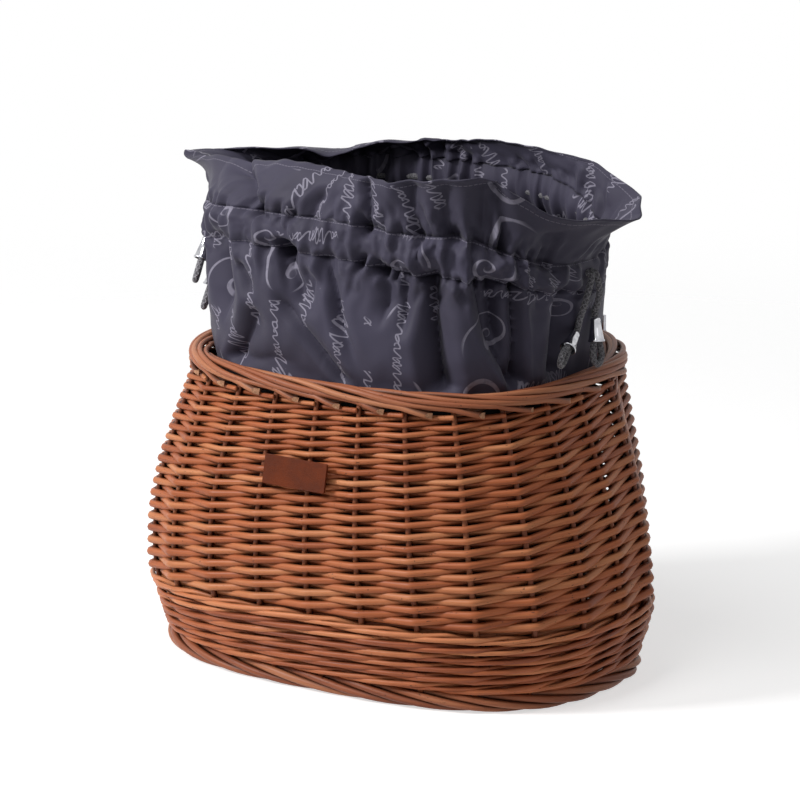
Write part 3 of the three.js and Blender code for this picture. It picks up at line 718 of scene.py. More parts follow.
def cutAcross(strand, spot, facing):  # cuts a strand off and shows its wood
    bm = bmesh.new()
    bm.from_mesh(strand.data)
    cut = bmesh.ops.bisect_plane(bm, geom=bm.verts[:] + bm.edges[:] + bm.faces[:], dist=1e-6,
                                 plane_co=spot, plane_no=facing, clear_outer=True)
    rim = [e for e in cut["geom_cut"] if isinstance(e, bmesh.types.BMEdge)]
    for face in bmesh.ops.edgeloop_fill(bm, edges=rim)["faces"]:
        face.material_index = 1
        face.smooth = False
    bm.to_mesh(strand.data)
    bm.free()


def buildRimBorder():
    dice = random.Random(71)
    strands = []
    for k in range(plan["stakeCount"]):
        points, radii, outs = [], [], []
        thick = rimBorder["strand"] * mix(0.86, 1.14, dice.random())
        for i in range(rimBorder["rings"] + 1):
            t = i / rimBorder["rings"]
            place = k + 0.02 + rimBorder["spaces"] * t
            turn = math.radians(rimTurn(t, k))
            points.append(sectionSpot(place, turn, rimBorder, plan["rim"], thick, rimSwell(t, k)))
            radii.append(thick * mix(0.98, 0.88, t))
            outs.append(sectionOut(place, turn, plan["rim"]))
        away = planNormal(placeAngle(k + rimBorder["spaces"]), plan["rim"])
        for i in range(-4, 0):
            points[i] += away * rimBorder["proud"] * (5 + i) / 4
        rod = plainRod(points, radii, outs, dice)
        strand = buildRods(f"rimStrand{k}", [rod], 12, [willow["border"], willow["cut"]])
        along = (points[-1] - points[-2]).normalized()
        facing = (along * 0.5 + away * 0.85 + Vector((0, 0, 0.1))).normalized()
        cutAcross(strand, points[-1] - along * thick * 0.2, facing)
        strands.append(strand)
    piece = joinObjects("rimBorder", strands)
    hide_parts("rim_border")
    return piece


# Woven base
baseMat = {
    "sticks": 5,  # each of two rods side by side
    "spacing": 0.034,
    "pair": 0.0016,  # from a stick's middle line to its two rods
    "height": 0.011,
    "stickRadius": 0.001984,
    "rows": 66,
    "span": 0.985,  # share of the base's length that the rows fill
    "fill": 0.94,  # rod thickness against row width
    "inset": 0.0095,  # inside the foot border
    "wave": 0.0012,
}


def buildBase():
    dice = random.Random(81)
    line = tuple(part - baseMat["inset"] for part in plan["foot"])
    rods = []

    def halfDepth(x):
        share = min(abs(x) / line[0], 0.999)
        front = line[1] * (1 - share ** plan["frontFullness"]) ** (1 / plan["frontFullness"])
        back = line[2] * (1 - share ** plan["backFullness"]) ** (1 / plan["backFullness"])
        return plan["centreY"] - front, plan["centreY"] + back

    middle = plan["centreY"] + (line[2] - line[1]) / 2
    firstRow = middle - (baseMat["sticks"] - 1) / 2 * baseMat["spacing"]
    stickRows = [firstRow + i * baseMat["spacing"] for i in range(baseMat["sticks"])]
    for y in stickRows:
        depth = line[1] if y < plan["centreY"] else line[2]
        full = plan["frontFullness"] if y < plan["centreY"] else plan["backFullness"]
        reach = line[0] * (1 - min(abs(y - plan["centreY"]) / depth, 0.99) ** full) ** (1 / full) - 0.002
        for side in (-baseMat["pair"], baseMat["pair"]):
            lay = baseMat["height"] - 0.0002
            points = [Vector((mix(-reach, reach, i / 12), y + side, lay)) for i in range(13)]
            rods.append(newRod(points, [baseMat["stickRadius"]] * 13, None, dice))
    pitch = 2 * line[0] * baseMat["span"] / baseMat["rows"]
    for row in range(baseMat["rows"]):
        x = -line[0] * baseMat["span"] + (row + 0.5) * pitch
        front, back = halfDepth(x)
        points, radii = [], []
        for i in range(37):
            y = mix(front, back, i / 36)
            wave = math.cos(math.pi * ((y - stickRows[0]) / baseMat["spacing"] + row))
            side = 0.0003 * wobble(y * 30, row, 2)
            points.append(Vector((x + side, y, baseMat["height"] + baseMat["wave"] * wave)))
            radii.append(pitch * baseMat["fill"] / 2)
        rods.append(newRod(points, radii, None, dice))
    piece = buildRods("baseMat", rods, 8, willow["waling"], "MINIMUM")
    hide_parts("base_weave")
    return piece


wickerPieces = [buildStakes()]
wickerPieces += buildSideWeave()
wickerPieces.append(buildWaling())
print("sides woven")
wickerPieces += [buildFootBorder(), buildRimBorder(), buildBase()]
for piece in wickerPieces:
    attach(piece, "basket")
print("borders and base woven")


# Lining cloth
def makeCurls():  # scrolls scattered over the cloth, each turned its own way
    tree, n, given, end = newGroup(
        "scrollPrint",
        [("Place", "NodeSocketVector", None), ("Scale", "NodeSocketFloat", 30.0),
         ("Turns", "NodeSocketFloat", 1.3), ("Line", "NodeSocketFloat", 0.05)],
        [("Mask", "NodeSocketFloat")])
    cells = n.tree.nodes.new("ShaderNodeTexVoronoi")
    cells.voronoi_dimensions = "2D"
    n.put(cells, "Vector", given["Place"])
    n.put(cells, "Scale", given["Scale"])
    n.put(cells, "Randomness", 0.55)
    away = n.vector("SUBTRACT", given["Place"], cells.outputs["Position"])
    away = n.vector("SCALE", away)
    n.put(away.node, "Scale", given["Scale"])
    parts = n.tree.nodes.new("ShaderNodeSeparateXYZ")
    n.put(parts, 0, away)
    chance = n.tree.nodes.new("ShaderNodeSeparateColor")
    n.put(chance, 0, cells.outputs["Color"])
    reach = n.vector("LENGTH", away, out=1)
    turn = n.math("ARCTAN2", parts.outputs[1], parts.outputs[0])
    turn = n.math("DIVIDE", turn, 2 * math.pi)
    hand = n.math("SUBTRACT", n.math("MULTIPLY", n.math("GREATER_THAN", chance.outputs[1], 0.5), 2.0), 1.0)
    turn = n.math("MULTIPLY", turn, hand)
    spiral = n.math("LOGARITHM", n.math("ADD", reach, 0.02), 2.718)
    spiral = n.math("ADD", n.math("MULTIPLY", spiral, given["Turns"]), turn)
    spiral = n.math("ADD", spiral, chance.outputs[0])
    offset = n.math("ABSOLUTE", n.math("SUBTRACT", n.math("FRACT", spiral), 0.5))
    width = n.math("MULTIPLY", offset, reach)
    stress = n.math("SINE", n.math("MULTIPLY", turn, 2 * math.pi))
    stress = n.math("ADD", 1.0, n.math("MULTIPLY", stress, 0.55))
    line = n.math("MULTIPLY", given["Line"], stress)
    mask = n.ramp(n.math("DIVIDE", width, line), 0.6, 1.0, 1.0, 0.0)
    inside = n.math("MULTIPLY", n.ramp(reach, 0.36, 0.42, 1.0, 0.0), n.ramp(reach, 0.03, 0.06))
    mask = n.math("MULTIPLY", mask, inside)
    n.put(end, "Mask", mask)
    return tree


scrollPrint = makeCurls()


def makeScribbles():  # rows of running loops, in patches turned their own way
    tree, n, given, end = newGroup(
        "scribblePrint",
        [("Place", "NodeSocketVector", None), ("Patch", "NodeSocketFloat", 11.0),
         ("Row", "NodeSocketFloat", 0.026), ("Line", "NodeSocketFloat", 0.012)],
        [("Mask", "NodeSocketFloat")])
    cells = n.tree.nodes.new("ShaderNodeTexVoronoi")
    cells.voronoi_dimensions = "2D"
    n.put(cells, "Vector", given["Place"])
    n.put(cells, "Scale", given["Patch"])
    n.put(cells, "Randomness", 0.8)
    chance = n.tree.nodes.new("ShaderNodeSeparateColor")
    n.put(chance, 0, cells.outputs["Color"])
    away = n.vector("SUBTRACT", given["Place"], cells.outputs["Position"])
    quarter = n.math("MULTIPLY", n.math("FLOOR", n.math("MULTIPLY", chance.outputs[0], 3.99)), math.pi / 2)
    lean = n.math("ADD", quarter, n.math("MULTIPLY", n.math("SUBTRACT", chance.outputs[1], 0.5), 0.5))
    turned = n.tree.nodes.new("ShaderNodeVectorRotate")
    turned.rotation_type = "Z_AXIS"
    n.put(turned, "Vector", away)
    n.put(turned, "Angle", lean)
    parts = n.tree.nodes.new("ShaderNodeSeparateXYZ")
    n.put(parts, 0, turned.outputs[0])
    across = n.math("DIVIDE", parts.outputs[1], given["Row"])
    row = n.math("FLOOR", across)
    across = n.math("SUBTRACT", n.math("FRACT", across), 0.5)
    along = n.math("DIVIDE", parts.outputs[0], given["Row"])
    along = n.math("ADD", along, n.math("MULTIPLY", row, 7.31))
    along = n.math("ADD", along, n.math("MULTIPLY", chance.outputs[2], 9.0))
    slanted = n.math("SUBTRACT", along, n.math("MULTIPLY", across, 0.45))

    def wave(speed, shift=0.0):
        return n.math("SINE", n.math("MULTIPLY_ADD", along, speed, shift))

    tall = n.math("POWER", n.math("MAXIMUM", wave(2.3, 1.0), 0.0), 5.0)
    swing = n.math("ADD", n.math("MULTIPLY_ADD", wave(3.7), 0.025, 0.105), n.math("MULTIPLY", tall, 0.16))
    phase = n.math("ADD", n.math("MULTIPLY", slanted, 23.0), n.math("MULTIPLY", wave(5.1, 2.0), 1.4))

    def strand(shift, share, lift):  # two strands a little apart close to loops
        turn = n.math("ADD", phase, shift)
        line = n.math("MULTIPLY_ADD", n.math("MULTIPLY", n.math("SINE", turn), swing), share, lift)
        slope = n.math("MULTIPLY", n.math("MULTIPLY", n.math("COSINE", turn), swing), 23.0 * share)
        steep = n.math("SQRT", n.math("MULTIPLY_ADD", slope, slope, 1.0))
        pen = n.math("MULTIPLY", n.math("MULTIPLY_ADD", n.math("COSINE", turn), 0.35, 0.9), given["Line"])
        off = n.math("ABSOLUTE", n.math("SUBTRACT", across, line))
        return n.ramp(n.math("DIVIDE", off, n.math("MULTIPLY", pen, steep)), 0.6, 1.1, 1.0, 0.0)

    second = n.math("MULTIPLY", strand(2.4, 0.75, -0.02), n.ramp(wave(9.7, 0.6), 0.1, 0.2))
    mask = n.math("MAXIMUM", strand(0.0, 1.0, 0.0), second)
    runs = n.ramp(n.math("ADD", wave(1.31, 0.4), wave(2.17)), -0.95, -0.9)
    mask = n.math("MULTIPLY", mask, runs)
    n.put(end, "Mask", mask)
    return tree


scribblePrint = makeScribbles()


def makeStitches():  # dashes along one line of the cloth
    tree, n, given, end = newGroup(
        "stitchLine",
        [("Place", "NodeSocketVector", None), ("Line", "NodeSocketFloat", 0.0),
         ("Length", "NodeSocketFloat", 0.003)],
        [("Mask", "NodeSocketFloat")])
    parts = n.tree.nodes.new("ShaderNodeSeparateXYZ")
    n.put(parts, 0, given["Place"])
    off = n.math("ABSOLUTE", n.math("SUBTRACT", parts.outputs[1], given["Line"]))
    dash = n.math("FRACT", n.math("DIVIDE", parts.outputs[0], given["Length"]))
    dash = n.math("ABSOLUTE", n.math("SUBTRACT", dash, 0.5))
    mask = n.math("MULTIPLY", n.ramp(off, 0.00025, 0.0005, 1.0, 0.0), n.ramp(dash, 0.34, 0.42, 1.0, 0.0))
    n.put(end, "Mask", mask)
    return tree


stitchLine = makeStitches()

lining = {
    "cloth": "#474455",
    "shade": "#3f3c4b",
    "print": "#918d9d",
    "thread": "#7f7b8a",
    "hidden": "#17161a",  # painted shade: near black below the rim, where only dark shows between the rods
    "paintedShadeFrom": (0.226, 0.243),
    "scrolls": {"Scale": 14.0, "Turns": 0.75, "Line": 0.016},
    "scribbles": {"Patch": 8.0, "Row": 0.030, "Line": 0.027},
    "stitch": 0.0032,
}
liningFinish = {"Sheen Weight": 0.1, "Sheen Roughness": 0.45, "Specular IOR Level": 0.16}


def liningMaterial(name, stitches):  # stitches are the heights of its seams on the flat cloth
    material, n, shader = newMaterial(name, **liningFinish)
    place = n.add("ShaderNodeUVMap", uv_map="cloth")
    tone = n.noise(place, 9, 2, 0.5)
    colour = n.blend(n.ramp(tone, 0.3, 0.7), paint(lining["shade"]), paint(lining["cloth"]))
    worn = n.noise(place, 260, 2, 0.6)
    scrolls = placeGroup(n, scrollPrint, Place=place, **lining["scrolls"])["Mask"]
    few = n.ramp(n.noise(place, 13, 0, 0.5), 0.5, 0.52)
    motif = n.math("MULTIPLY", scrolls, few)
    rows = placeGroup(n, scribblePrint, Place=place, **lining["scribbles"])["Mask"]
    motif = n.math("MAXIMUM", motif, n.math("MULTIPLY", rows, n.math("SUBTRACT", 1.0, few)))
    motif = n.math("MULTIPLY", motif, n.ramp(worn, 0.25, 0.5, 0.55, 0.95))
    colour = n.blend(motif, colour, paint(lining["print"]))
    weft = n.tree.nodes.new("ShaderNodeTexWave")
    weft.bands_direction = "DIAGONAL"
    for key, value in (("Vector", place), ("Scale", 620.0), ("Distortion", 0.4)):
        n.put(weft, key, value)
    height = n.math("MULTIPLY", n.noise(place, 900, 2, 0.5), 0.5)
    height = n.math("ADD", n.math("MULTIPLY", weft.outputs["Fac"], 0.3), height)
    for line in stitches:
        seam = placeGroup(n, stitchLine, Place=place, Line=line, Length=lining["stitch"])["Mask"]
        colour = n.blend(n.math("MULTIPLY", seam, 0.8), colour, paint(lining["thread"]))
        height = n.math("ADD", height, n.math("MULTIPLY", seam, 3.0))
    upright = n.tree.nodes.new("ShaderNodeSeparateXYZ")
    n.put(upright, 0, n.add("ShaderNodeTexCoord", out=3))
    # painted shade: the cloth turns near black below the rim, inside the basket
    low = n.ramp(upright.outputs[2], *lining["paintedShadeFrom"], 1.0, 0.0)
    colour = n.blend(low, colour, paint(lining["hidden"]))
    n.put(shader, "Base Color", colour)
    n.put(shader, "Roughness", n.math("ADD", 0.5, n.math("MULTIPLY", tone, 0.16)))
    addBump(n, shader, height, 0.0002, 0.4)
    return material


# Lines of the bag in plan, in metres: half length, front depth, back depth
bag = {
    "foot": (0.1425, 0.119, 0.081), "footHeight": 0.0166,
    "rim": (0.1440, 0.1225, 0.1125), "rimHeight": 0.246,
    "bulge": (0.1500, 0.1260, 0.1090), "bulgeHeight": 0.284,
    "channelFoot": (0.1532, 0.1212, 0.1032), "channelFootHeight": 0.336,
    "channelHead": (0.1538, 0.1190, 0.0990), "channelHeadHeight": 0.370,
    "droopLeft": 0.014, "droopRight": 0.032,
    "thickness": 0.0009,
}

# How far the channel's seams rise or fall, in millimetres, every 20 degrees from 10 past the left end on by
# the front; further round they lie still
seamLifts = {
    "channelFoot": (0, 0, 1.6, 3, 2, -3.5, 1.5, 8, 7, -3),
    "channelHead": (-2, -5.6, -6.4, -4.8, -4, -7, -1, -3, -6, -9.5, -8, -3),
}

# The hem, evenly turned round from the right end by the back: x, y and z in millimetres
hemPoints = [
    (193, 16, 364), (185, 31, 372), (173, 49, 376), (144, 68, 379), (116, 84, 385), (88, 88, 388),
    (60, 88, 390), (26, 88, 391), (-11, 88, 388), (-42, 84, 385.5), (-70, 72, 383), (-89, 57, 378),
    (-104, 41, 373), (-124, 28, 380), (-150, 16, 379), (-181, 5, 377), (-201, -11, 374), (-190, -25, 374),
    (-160, -46, 383), (-132, -62, 389), (-108, -74, 391), (-76, -89, 397), (-48, -98, 402),
    (-15, -105, 404), (15, -110, 403), (43, -114, 402), (67, -115, 402), (98, -112, 407),
    (126, -98, 408), (143, -82, 396), (164, -57, 377), (182, -15, 369),
]


def smoothBetween(a, b, c, d, t):  # from b to c, on a smooth line that also passes a and d
    return 0.5 * (2 * b + (c - a) * t + (2 * a - 5 * b + 4 * c - d) * t * t
                  + (3 * b - a - 3 * c + d) * t ** 3)


def hemSpot(angle):  # on a smooth closed line through the points
    count = len(hemPoints)
    at = (angle / (2 * math.pi) * count) % count
    i, t = int(at), at % 1
    near = [Vector(hemPoints[(i + j) % count]) for j in (-1, 0, 1, 2)]
    return smoothBetween(*near, t) / 1000 + Vector((0, plan["centreY"], 0))


def bagDroop(angle):
    side = math.cos(angle)
    return (bag["droopRight"] if side > 0 else bag["droopLeft"]) * abs(side) ** 3


def seamLift(name, angle):
    lifts = seamLifts[name]
    part = ((math.degrees(angle) - 190) % 360) / 20
    i = int(part)
    here, following = (lifts[j] if j < len(lifts) else 0 for j in (i, i + 1))
    return mix(here, following, ease(part - i)) / 1000


def bagLine(name, angle):
    spot = planPoint(angle, bag[name])
    spot.z = bag[name + "Height"]
    if name in seamLifts:
        spot.z += seamLift(name, angle) - bagDroop(angle)
    return spot


def evenAngles(count, line):  # from the back middle to the left, by even length
    at, reached = lengthsRound(math.pi / 2, line)
    found, i = [], 0
    for k in range(count + 1):
        wanted = reached[-1] * k / count
        while i < len(reached) - 2 and reached[i + 1] < wanted:
            i += 1
        part = (wanted - reached[i]) / (reached[i + 1] - reached[i])
        found.append(mix(at[i], at[i + 1], part))
    return found, reached[-1]


cloth = {
    "round": 1.01,  # cut length of the tube, metres
    "columns": 560,
    "foot": 0.237,  # the free cloth starts inside the rim
    "rows": {"wall": 46, "channel": 18, "collar": 20},
    "high": {"wall": 0.100, "channel": 0.036, "collar": 0.040},
    "hiddenRows": 12,  # of the wall inside the basket
    "innerRows": 9,  # of the channel's inner side
    "innerReach": 0.0054,  # how far that side stands inward
    # where the print starts on a piece, and how high it is there
    "print": {"channel": (0, 0.037), "channelInside": (0.037, 0.034), "collar": (0.4, 0.040)},
    "stitches": {"wall": (), "channel": (0.0012, 0.0358), "collar": (0.433,), "bottom": ()},
    "seams": (100, 136),  # heights of the channel's seams up the free cloth, in millimetres
    "heldAt": (6, 100, 136, 168),  # folds that end near these heights stay deep there
    "puff": 0.0012,  # how far the channel stands out in its middle
    "push": 0.0022,  # and how far the cord pushes its folds out there
    "overCord": 0.0006,  # the deepest fold over the cord
    "bow": 0.005,  # how far the collar bows up
    "swell": 0.0015,
    "swellWidth": 0.018,
    "flutter": 0.0016,  # of the hem, up and down
    "flutterWidth": 0.014,
}
gathers = {
    "depth": (1.8, 6.0),  # least and most, in millimetres
    "width": (2.8, 4.8),
    "apart": (7.5, 14),
    "shortest": 8,
    "longest": (34, 26),  # below the channel and above it
    "lean": (-0.45, 0.45),  # share of the length and of the width
    "shoulder": 0.42,  # share of the depth
}
cordHoles = {"left": (-0.1543, -0.0196, 0.332), "right": (0.1543, -0.0026, 0.321)}
bagAngles, channelRound = evenAngles(cloth["columns"], bag["channelHead"])

# Folds that the photo shows: their lines, round from the back middle by the left and up the cloth, then
# their depths and widths, all in millimetres, and how far they lean to one side
shownFolds = [
    (((349, 88), (361, 74), (371, 60)), 9.1, 5, 0),
    (((371, 60), (359, 34), (338, 6)), 10.4, 9, 0.3),
    (((324, 98), (332, 64), (326, 30)), 14.4, 12, 0),
    (((388, 72), (412, 52), (435, 30), (455, 8)), 8.3, 5, 0.2),
    (((437, 100), (447, 74), (453, 52), (474, 14)), 9.4, 5, 0.2),
    (((396, 100), (408, 80), (420, 54)), 14.4, 10, 0),
    (((429, 90), (422, 70), (416, 50)), 7.7, 8, 0),
    (((345, 6), (386, 18), (420, 16)), 4, 8, 0),
    (((488, 100), (492, 78), (488, 52)), 9.1, 6, 0),
    (((502, 100), (507, 72), (507, 44)), 13, 8, 0),
    (((525, 100), (529, 78), (535, 42), (541, 10)), 20.9, 9, 0),
    (((560, 100), (564, 85), (574, 52), (597, 10)), 13, 6, 0.4),
    (((574, 100), (582, 58), (595, 20)), 19.7, 10, 0),
    (((593, 100), (601, 50), (605, 10)), 14.4, 5, -0.4),
    (((644, 98), (642, 38), (642, 10)), 13, 9, 0),
    (((371, 136), (386, 116), (398, 100)), 9.8, 6, 0.3),
    (((392, 136), (396, 120), (394, 100)), 6.4, 4, 0),
    (((404, 136), (402, 118), (402, 100)), 6.4, 4, 0),
    (((470, 136), (476, 118), (468, 100)), 6.4, 4, 0),
    (((478, 136), (478, 114), (484, 100)), 6.9, 4, 0),
    (((371, 136), (353, 148), (326, 166)), 13, 6, -0.4),
    (((474, 136), (474, 148), (470, 166)), 7.8, 5, 0.2),
    (((420, 136), (424, 146), (427, 158)), 6.4, 9, 0),
    (((513, 136), (511, 150), (517, 168)), 10.5, 9, 0),
    (((539, 136), (537, 150), (541, 166)), 7.8, 7, 0),
    (((564, 136), (564, 152), (564, 168)), 12, 8, 0),
    (((580, 136), (578, 152), (570, 170)), 9.1, 5, 0.3),
    (((619, 136), (613, 148), (605, 160)), 10.8, 12, 0),
]


def gatherShare(place):  # small gathers crowd in the front middle; place in millimetres round
    return 0.55 + 0.45 * ease((place - 440) / 60) * ease((640 - place) / 60) + 0.35 * (1 - ease(place / 200))


def seamGathers():  # sharp at the seams and running out in the cloth beside them
    dice = random.Random(91)
    folds, around = [], channelRound * 1000
    foot, head = cloth["seams"]
    below, above = gathers["longest"]
    for seam, way, longest in ((foot, -1, below), (head, 1, above), (foot, 0, 0)):
        place = 0.0
        while place < around - 4:
            share = gatherShare(place)
            depth = mix(*gathers["depth"], dice.random()) * share
            if way:
                reach = mix(gathers["shortest"], longest, dice.random() ** 1.6)
                slant = mix(*gathers["lean"], dice.random()) * reach
                line = ((place, seam), (place + slant * 0.4, seam + way * reach * 0.5),
                        (place + slant, seam + way * reach))
            else:  # from seam to seam, over the channel
                depth *= 1.2
                halfway = place + mix(-5, 5, dice.random())
                over = place + mix(-4, 4, dice.random())
                line = ((place, foot), (halfway, (foot + head) / 2), (over, head))
            width, lean = mix(*gathers["width"], dice.random()), mix(*gathers["lean"], dice.random())
            folds.append((line, depth, width, lean, gathers["shoulder"]))
            place += mix(*gathers["apart"], dice.random()) / (0.35 + 0.65 * share)
    return folds


def levelZone(row):
    for zone, count in cloth["rows"].items():
        if row <= count:
            return zone, row / count
        row -= count


def levelHeight(row):  # metres up the free cloth
    height = 0.0
    for zone, count in cloth["rows"].items():
        height += cloth["high"][zone] * min(max(row / count, 0), 1)
        row -= count
    return height


def foldShape(reach, shoulder):  # a sharp valley between round shoulders; reach is counted in widths
    return math.exp(-(1.05 * reach) ** 1.1) - shoulder * math.exp(-((reach - 2.0) / 0.9) ** 2)


def endFade(height, free):  # folds run out in the cloth, but not at a seam, the hem or the rim
    held = min(abs(height - edge) for edge in cloth["heldAt"]) < 8
    return 0 if held else free


def pressFold(depths, heights, line, depth, width, lean, shoulder=0.16):
    columns, step = cloth["columns"], channelRound * 1000 / cloth["columns"]
    spread = width * 4
    lengths = [math.dist(a, b) for a, b in zip(line, line[1:])]
    whole = sum(lengths)
    fadeIn, fadeOut = endFade(line[0][1], 0.2), endFade(line[-1][1], 0.5)
    first = math.floor((min(p[0] for p in line) - spread) / step)
    last = math.ceil((max(p[0] for p in line) + spread) / step)
    low, high = min(p[1] for p in line) - spread, max(p[1] for p in line) + spread
    for row, height in enumerate(heights):
        if not low < height < high:
            continue
        for column in range(first, last + 1):
            place, nearest = column * step, None
            done = 0.0
            for a, b, length in zip(line, line[1:], lengths):
                along = ((place - a[0]) * (b[0] - a[0]) + (height - a[1]) * (b[1] - a[1])) / length ** 2
                along = min(max(along, 0), 1)
                x, y = place - mix(a[0], b[0], along), height - mix(a[1], b[1], along)
                far = math.hypot(x, y)
                if nearest is None or far < nearest[0]:
                    nearest = (far, x, (done + along * length) / whole)
                done += length
            far, x, along = nearest
            if far > spread:
                continue
            strength = ease(along / fadeIn) if fadeIn else 1
            strength *= ease((1 - along) / fadeOut) if fadeOut else 1
            side = 1 + lean * math.copysign(1, x)
            depths[row][column % columns] += depth * strength * foldShape(far / (width * side), shoulder)


def roundWobble(column, width, height, seed):  # noise that meets itself round the bag
    turn = 2 * math.pi * column / cloth["columns"]
    reach = channelRound / (2 * math.pi * width)
    return wobble(reach * math.cos(turn) + seed * 17.3, reach * math.sin(turn), height)


def plainSpot(column, zone, t):  # where the cloth would lie without folds
    angle = bagAngles[column]
    if zone == "wall":
        a, b, c = (bagLine(name, angle) for name in ("rim", "bulge", "channelFoot"))
        a.z = cloth["foot"]
        return a * (2 * (t - 0.5) * (t - 1)) + b * (4 * t * (1 - t)) + c * (2 * t * (t - 0.5))
    low, high = bagLine("channelFoot", angle), bagLine("channelHead", angle)
    if zone == "channel":
        puff = cloth["puff"] * math.sin(math.pi * t)
        return low.lerp(high, t) + planNormal(angle, bag["channelHead"]) * puff
    hem = hemSpot(angle)
    spot = high.lerp(hem, t ** 1.2)
    spot.z = mix(high.z, hem.z, t) + cloth["bow"] * math.sin(math.pi * t)
    return spot


def nearHole(spot):
    return min((spot - Vector(hole)).length for hole in cordHoles.values())


def foldCloth():  # places of all the rows, from the rim to the hem
    columns, rows = cloth["columns"], sum(cloth["rows"].values())
    heights = [levelHeight(row) * 1000 for row in range(rows + 1)]
    depths = [[0.0] * columns for row in range(rows + 1)]
    for fold in shownFolds + seamGathers():
        pressFold(depths, heights, *fold)
    plain = [[plainSpot(column, *levelZone(row)) for column in range(columns)] for row in range(rows + 1)]
    places = []
    for row in range(rows + 1):
        zone, t = levelZone(row)
        below, above = plain[max(row - 1, 0)], plain[min(row + 1, rows)]
        hold = ease(t / 0.12) if zone == "wall" else 1
        line = []
        for column in range(columns):
            along = plain[row][(column + 1) % columns] - plain[row][column - 1]
            normal = along.cross(above[column] - below[column]).normalized()
            spot = plain[row][column]
            depth = depths[row][column] / 1000
            if zone == "channel":  # the cord inside keeps the folds out
                depth -= cloth["push"] * math.sin(math.pi * t)
                depth = mix(depth, min(depth, cloth["overCord"]), math.exp(-((t - 0.5) / 0.26) ** 4))
            depth -= cloth["swell"] * roundWobble(column, cloth["swellWidth"], heights[row] * 0.05, 1)
            broad = roundWobble(column, cloth["swellWidth"] * 3, heights[row] * 0.02, 3)
            depth -= cloth["swell"] * 1.5 * broad
            if zone == "collar":
                flutter = cloth["flutter"] * t * roundWobble(column, cloth["flutterWidth"], 5, 5)
                spot = spot + Vector((0, 0, flutter))
            calm = ease((nearHole(spot) - 0.006) / 0.014)
            line.append(spot - normal * depth * calm * hold)
        places.append(line)
    return places


def buildTube(rowSpots, rowHeights):  # closed round; one list of points for each row
    columns = cloth["columns"]
    bm = bmesh.new()
    bmesh.ops.create_grid(bm, x_segments=columns, y_segments=len(rowSpots) - 1, size=0.5)
    layer = bm.loops.layers.uv.new("cloth")
    flat = {}
    for vert in bm.verts:
        column, row = round((vert.co.x + 0.5) * columns), round((vert.co.y + 0.5) * (len(rowSpots) - 1))
        flat[vert] = (column / columns * cloth["round"], rowHeights[row])
        vert.co = rowSpots[row][column % columns]
    for face in bm.faces:
        for loop in face.loops:
            loop[layer].uv = flat[loop.vert]
    bmesh.ops.remove_doubles(bm, verts=bm.verts, dist=1e-7)
    return bm


def addThickness(piece, thickness, offset):
    wall = piece.modifiers.new("clothThickness", "SOLIDIFY")
    wall.thickness = thickness
    wall.offset = offset


def finishCloth(bm, name, material, thickness):
    piece = meshFrom(bm, name, material)
    bpy.context.view_layer.update()
    bm = bmesh.new()
    bm.from_mesh(piece.data)
    middle = Vector((0, plan["centreY"], 0))
    outness = 0.0
    for face in bm.faces:
        away = (face.calc_center_median() - middle).to_2d()
        outness += away.dot(face.normal.to_2d()) * face.calc_area()
    if outness < 0:
        bmesh.ops.reverse_faces(bm, faces=bm.faces[:])
    bm.to_mesh(piece.data)
    bm.free()
    piece.data.set_sharp_from_angle(angle=math.radians(80))
    if thickness:
        addThickness(piece, thickness, -1)
    return piece


def printHeights(name, rows):
    foot, high = cloth["print"][name]
    return [foot + high * i / rows for i in range(rows + 1)]


def buildLiningWall(places):
    rows, hiddenRows = cloth["rows"]["wall"], cloth["hiddenRows"]
    feet = [bagLine("foot", angle) for angle in bagAngles[:cloth["columns"]]]
    hidden = []
    heights = []
    for i in range(hiddenRows):
        hidden.append([foot.lerp(spot, i / hiddenRows) for foot, spot in zip(feet, places[0])])
        heights.append(mix(bag["footHeight"], cloth["foot"], i / hiddenRows))
    heights += [cloth["foot"] + cloth["high"]["wall"] * i / rows for i in range(rows + 1)]
    tube = buildTube(hidden + places[:rows + 1], heights)
    finish = liningMaterial("lining_wall", cloth["stitches"]["wall"])
    wall = finishCloth(tube, "liningWall", finish, bag["thickness"])
    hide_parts("bag_wall")
    return wall


def buildLiningChannel(places):  # closed, with an inner side behind the outer one
    foot, rows, innerRows = cloth["rows"]["wall"], cloth["rows"]["channel"], cloth["innerRows"]
    outer = places[foot:foot + rows + 1]
    inner = []
    for i in range(1, innerRows + 1):
        t = i / innerRows
        line = []
        for column in range(cloth["columns"]):
            spot = outer[-1][column].lerp(outer[0][column], t)
            out = planNormal(bagAngles[column], bag["channelHead"])
            line.append(spot + out * -cloth["innerReach"] * math.sin(math.pi * t))
        inner.append(line)
    heights = printHeights("channel", rows) + printHeights("channelInside", innerRows)[1:]
    tube = buildTube(outer + inner, heights)
    finish = liningMaterial("lining_channel", cloth["stitches"]["channel"])
    channel = finishCloth(tube, "liningChannel", finish, 0)
    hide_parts("drawstring_channel")
    return channel


def buildLiningCollar(places):
    foot, rows = cloth["rows"]["wall"] + cloth["rows"]["channel"], cloth["rows"]["collar"]
    tube = buildTube(places[foot:], printHeights("collar", rows))
    finish = liningMaterial("lining_collar", cloth["stitches"]["collar"])
    collar = finishCloth(tube, "liningCollar", finish, bag["thickness"])
    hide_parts("bag_collar")
    return collar


bagBottom = {"steps": 60, "height": 0.0158, "swell": 0.0004, "thickness": 0.0012}


def bottomSpot(x, y):  # the square from -1 to 1 drawn out to the bag's foot
    reach = max(abs(x), abs(y))
    edge = planPoint(math.atan2(y, x), bag["foot"])
    spot = Vector((edge.x * reach, (edge.y - plan["centreY"]) * reach + plan["centreY"], bagBottom["height"]))
    spot.z += bagBottom["swell"] * wobble(spot.x * 30, spot.y * 30, 1)
    return spot


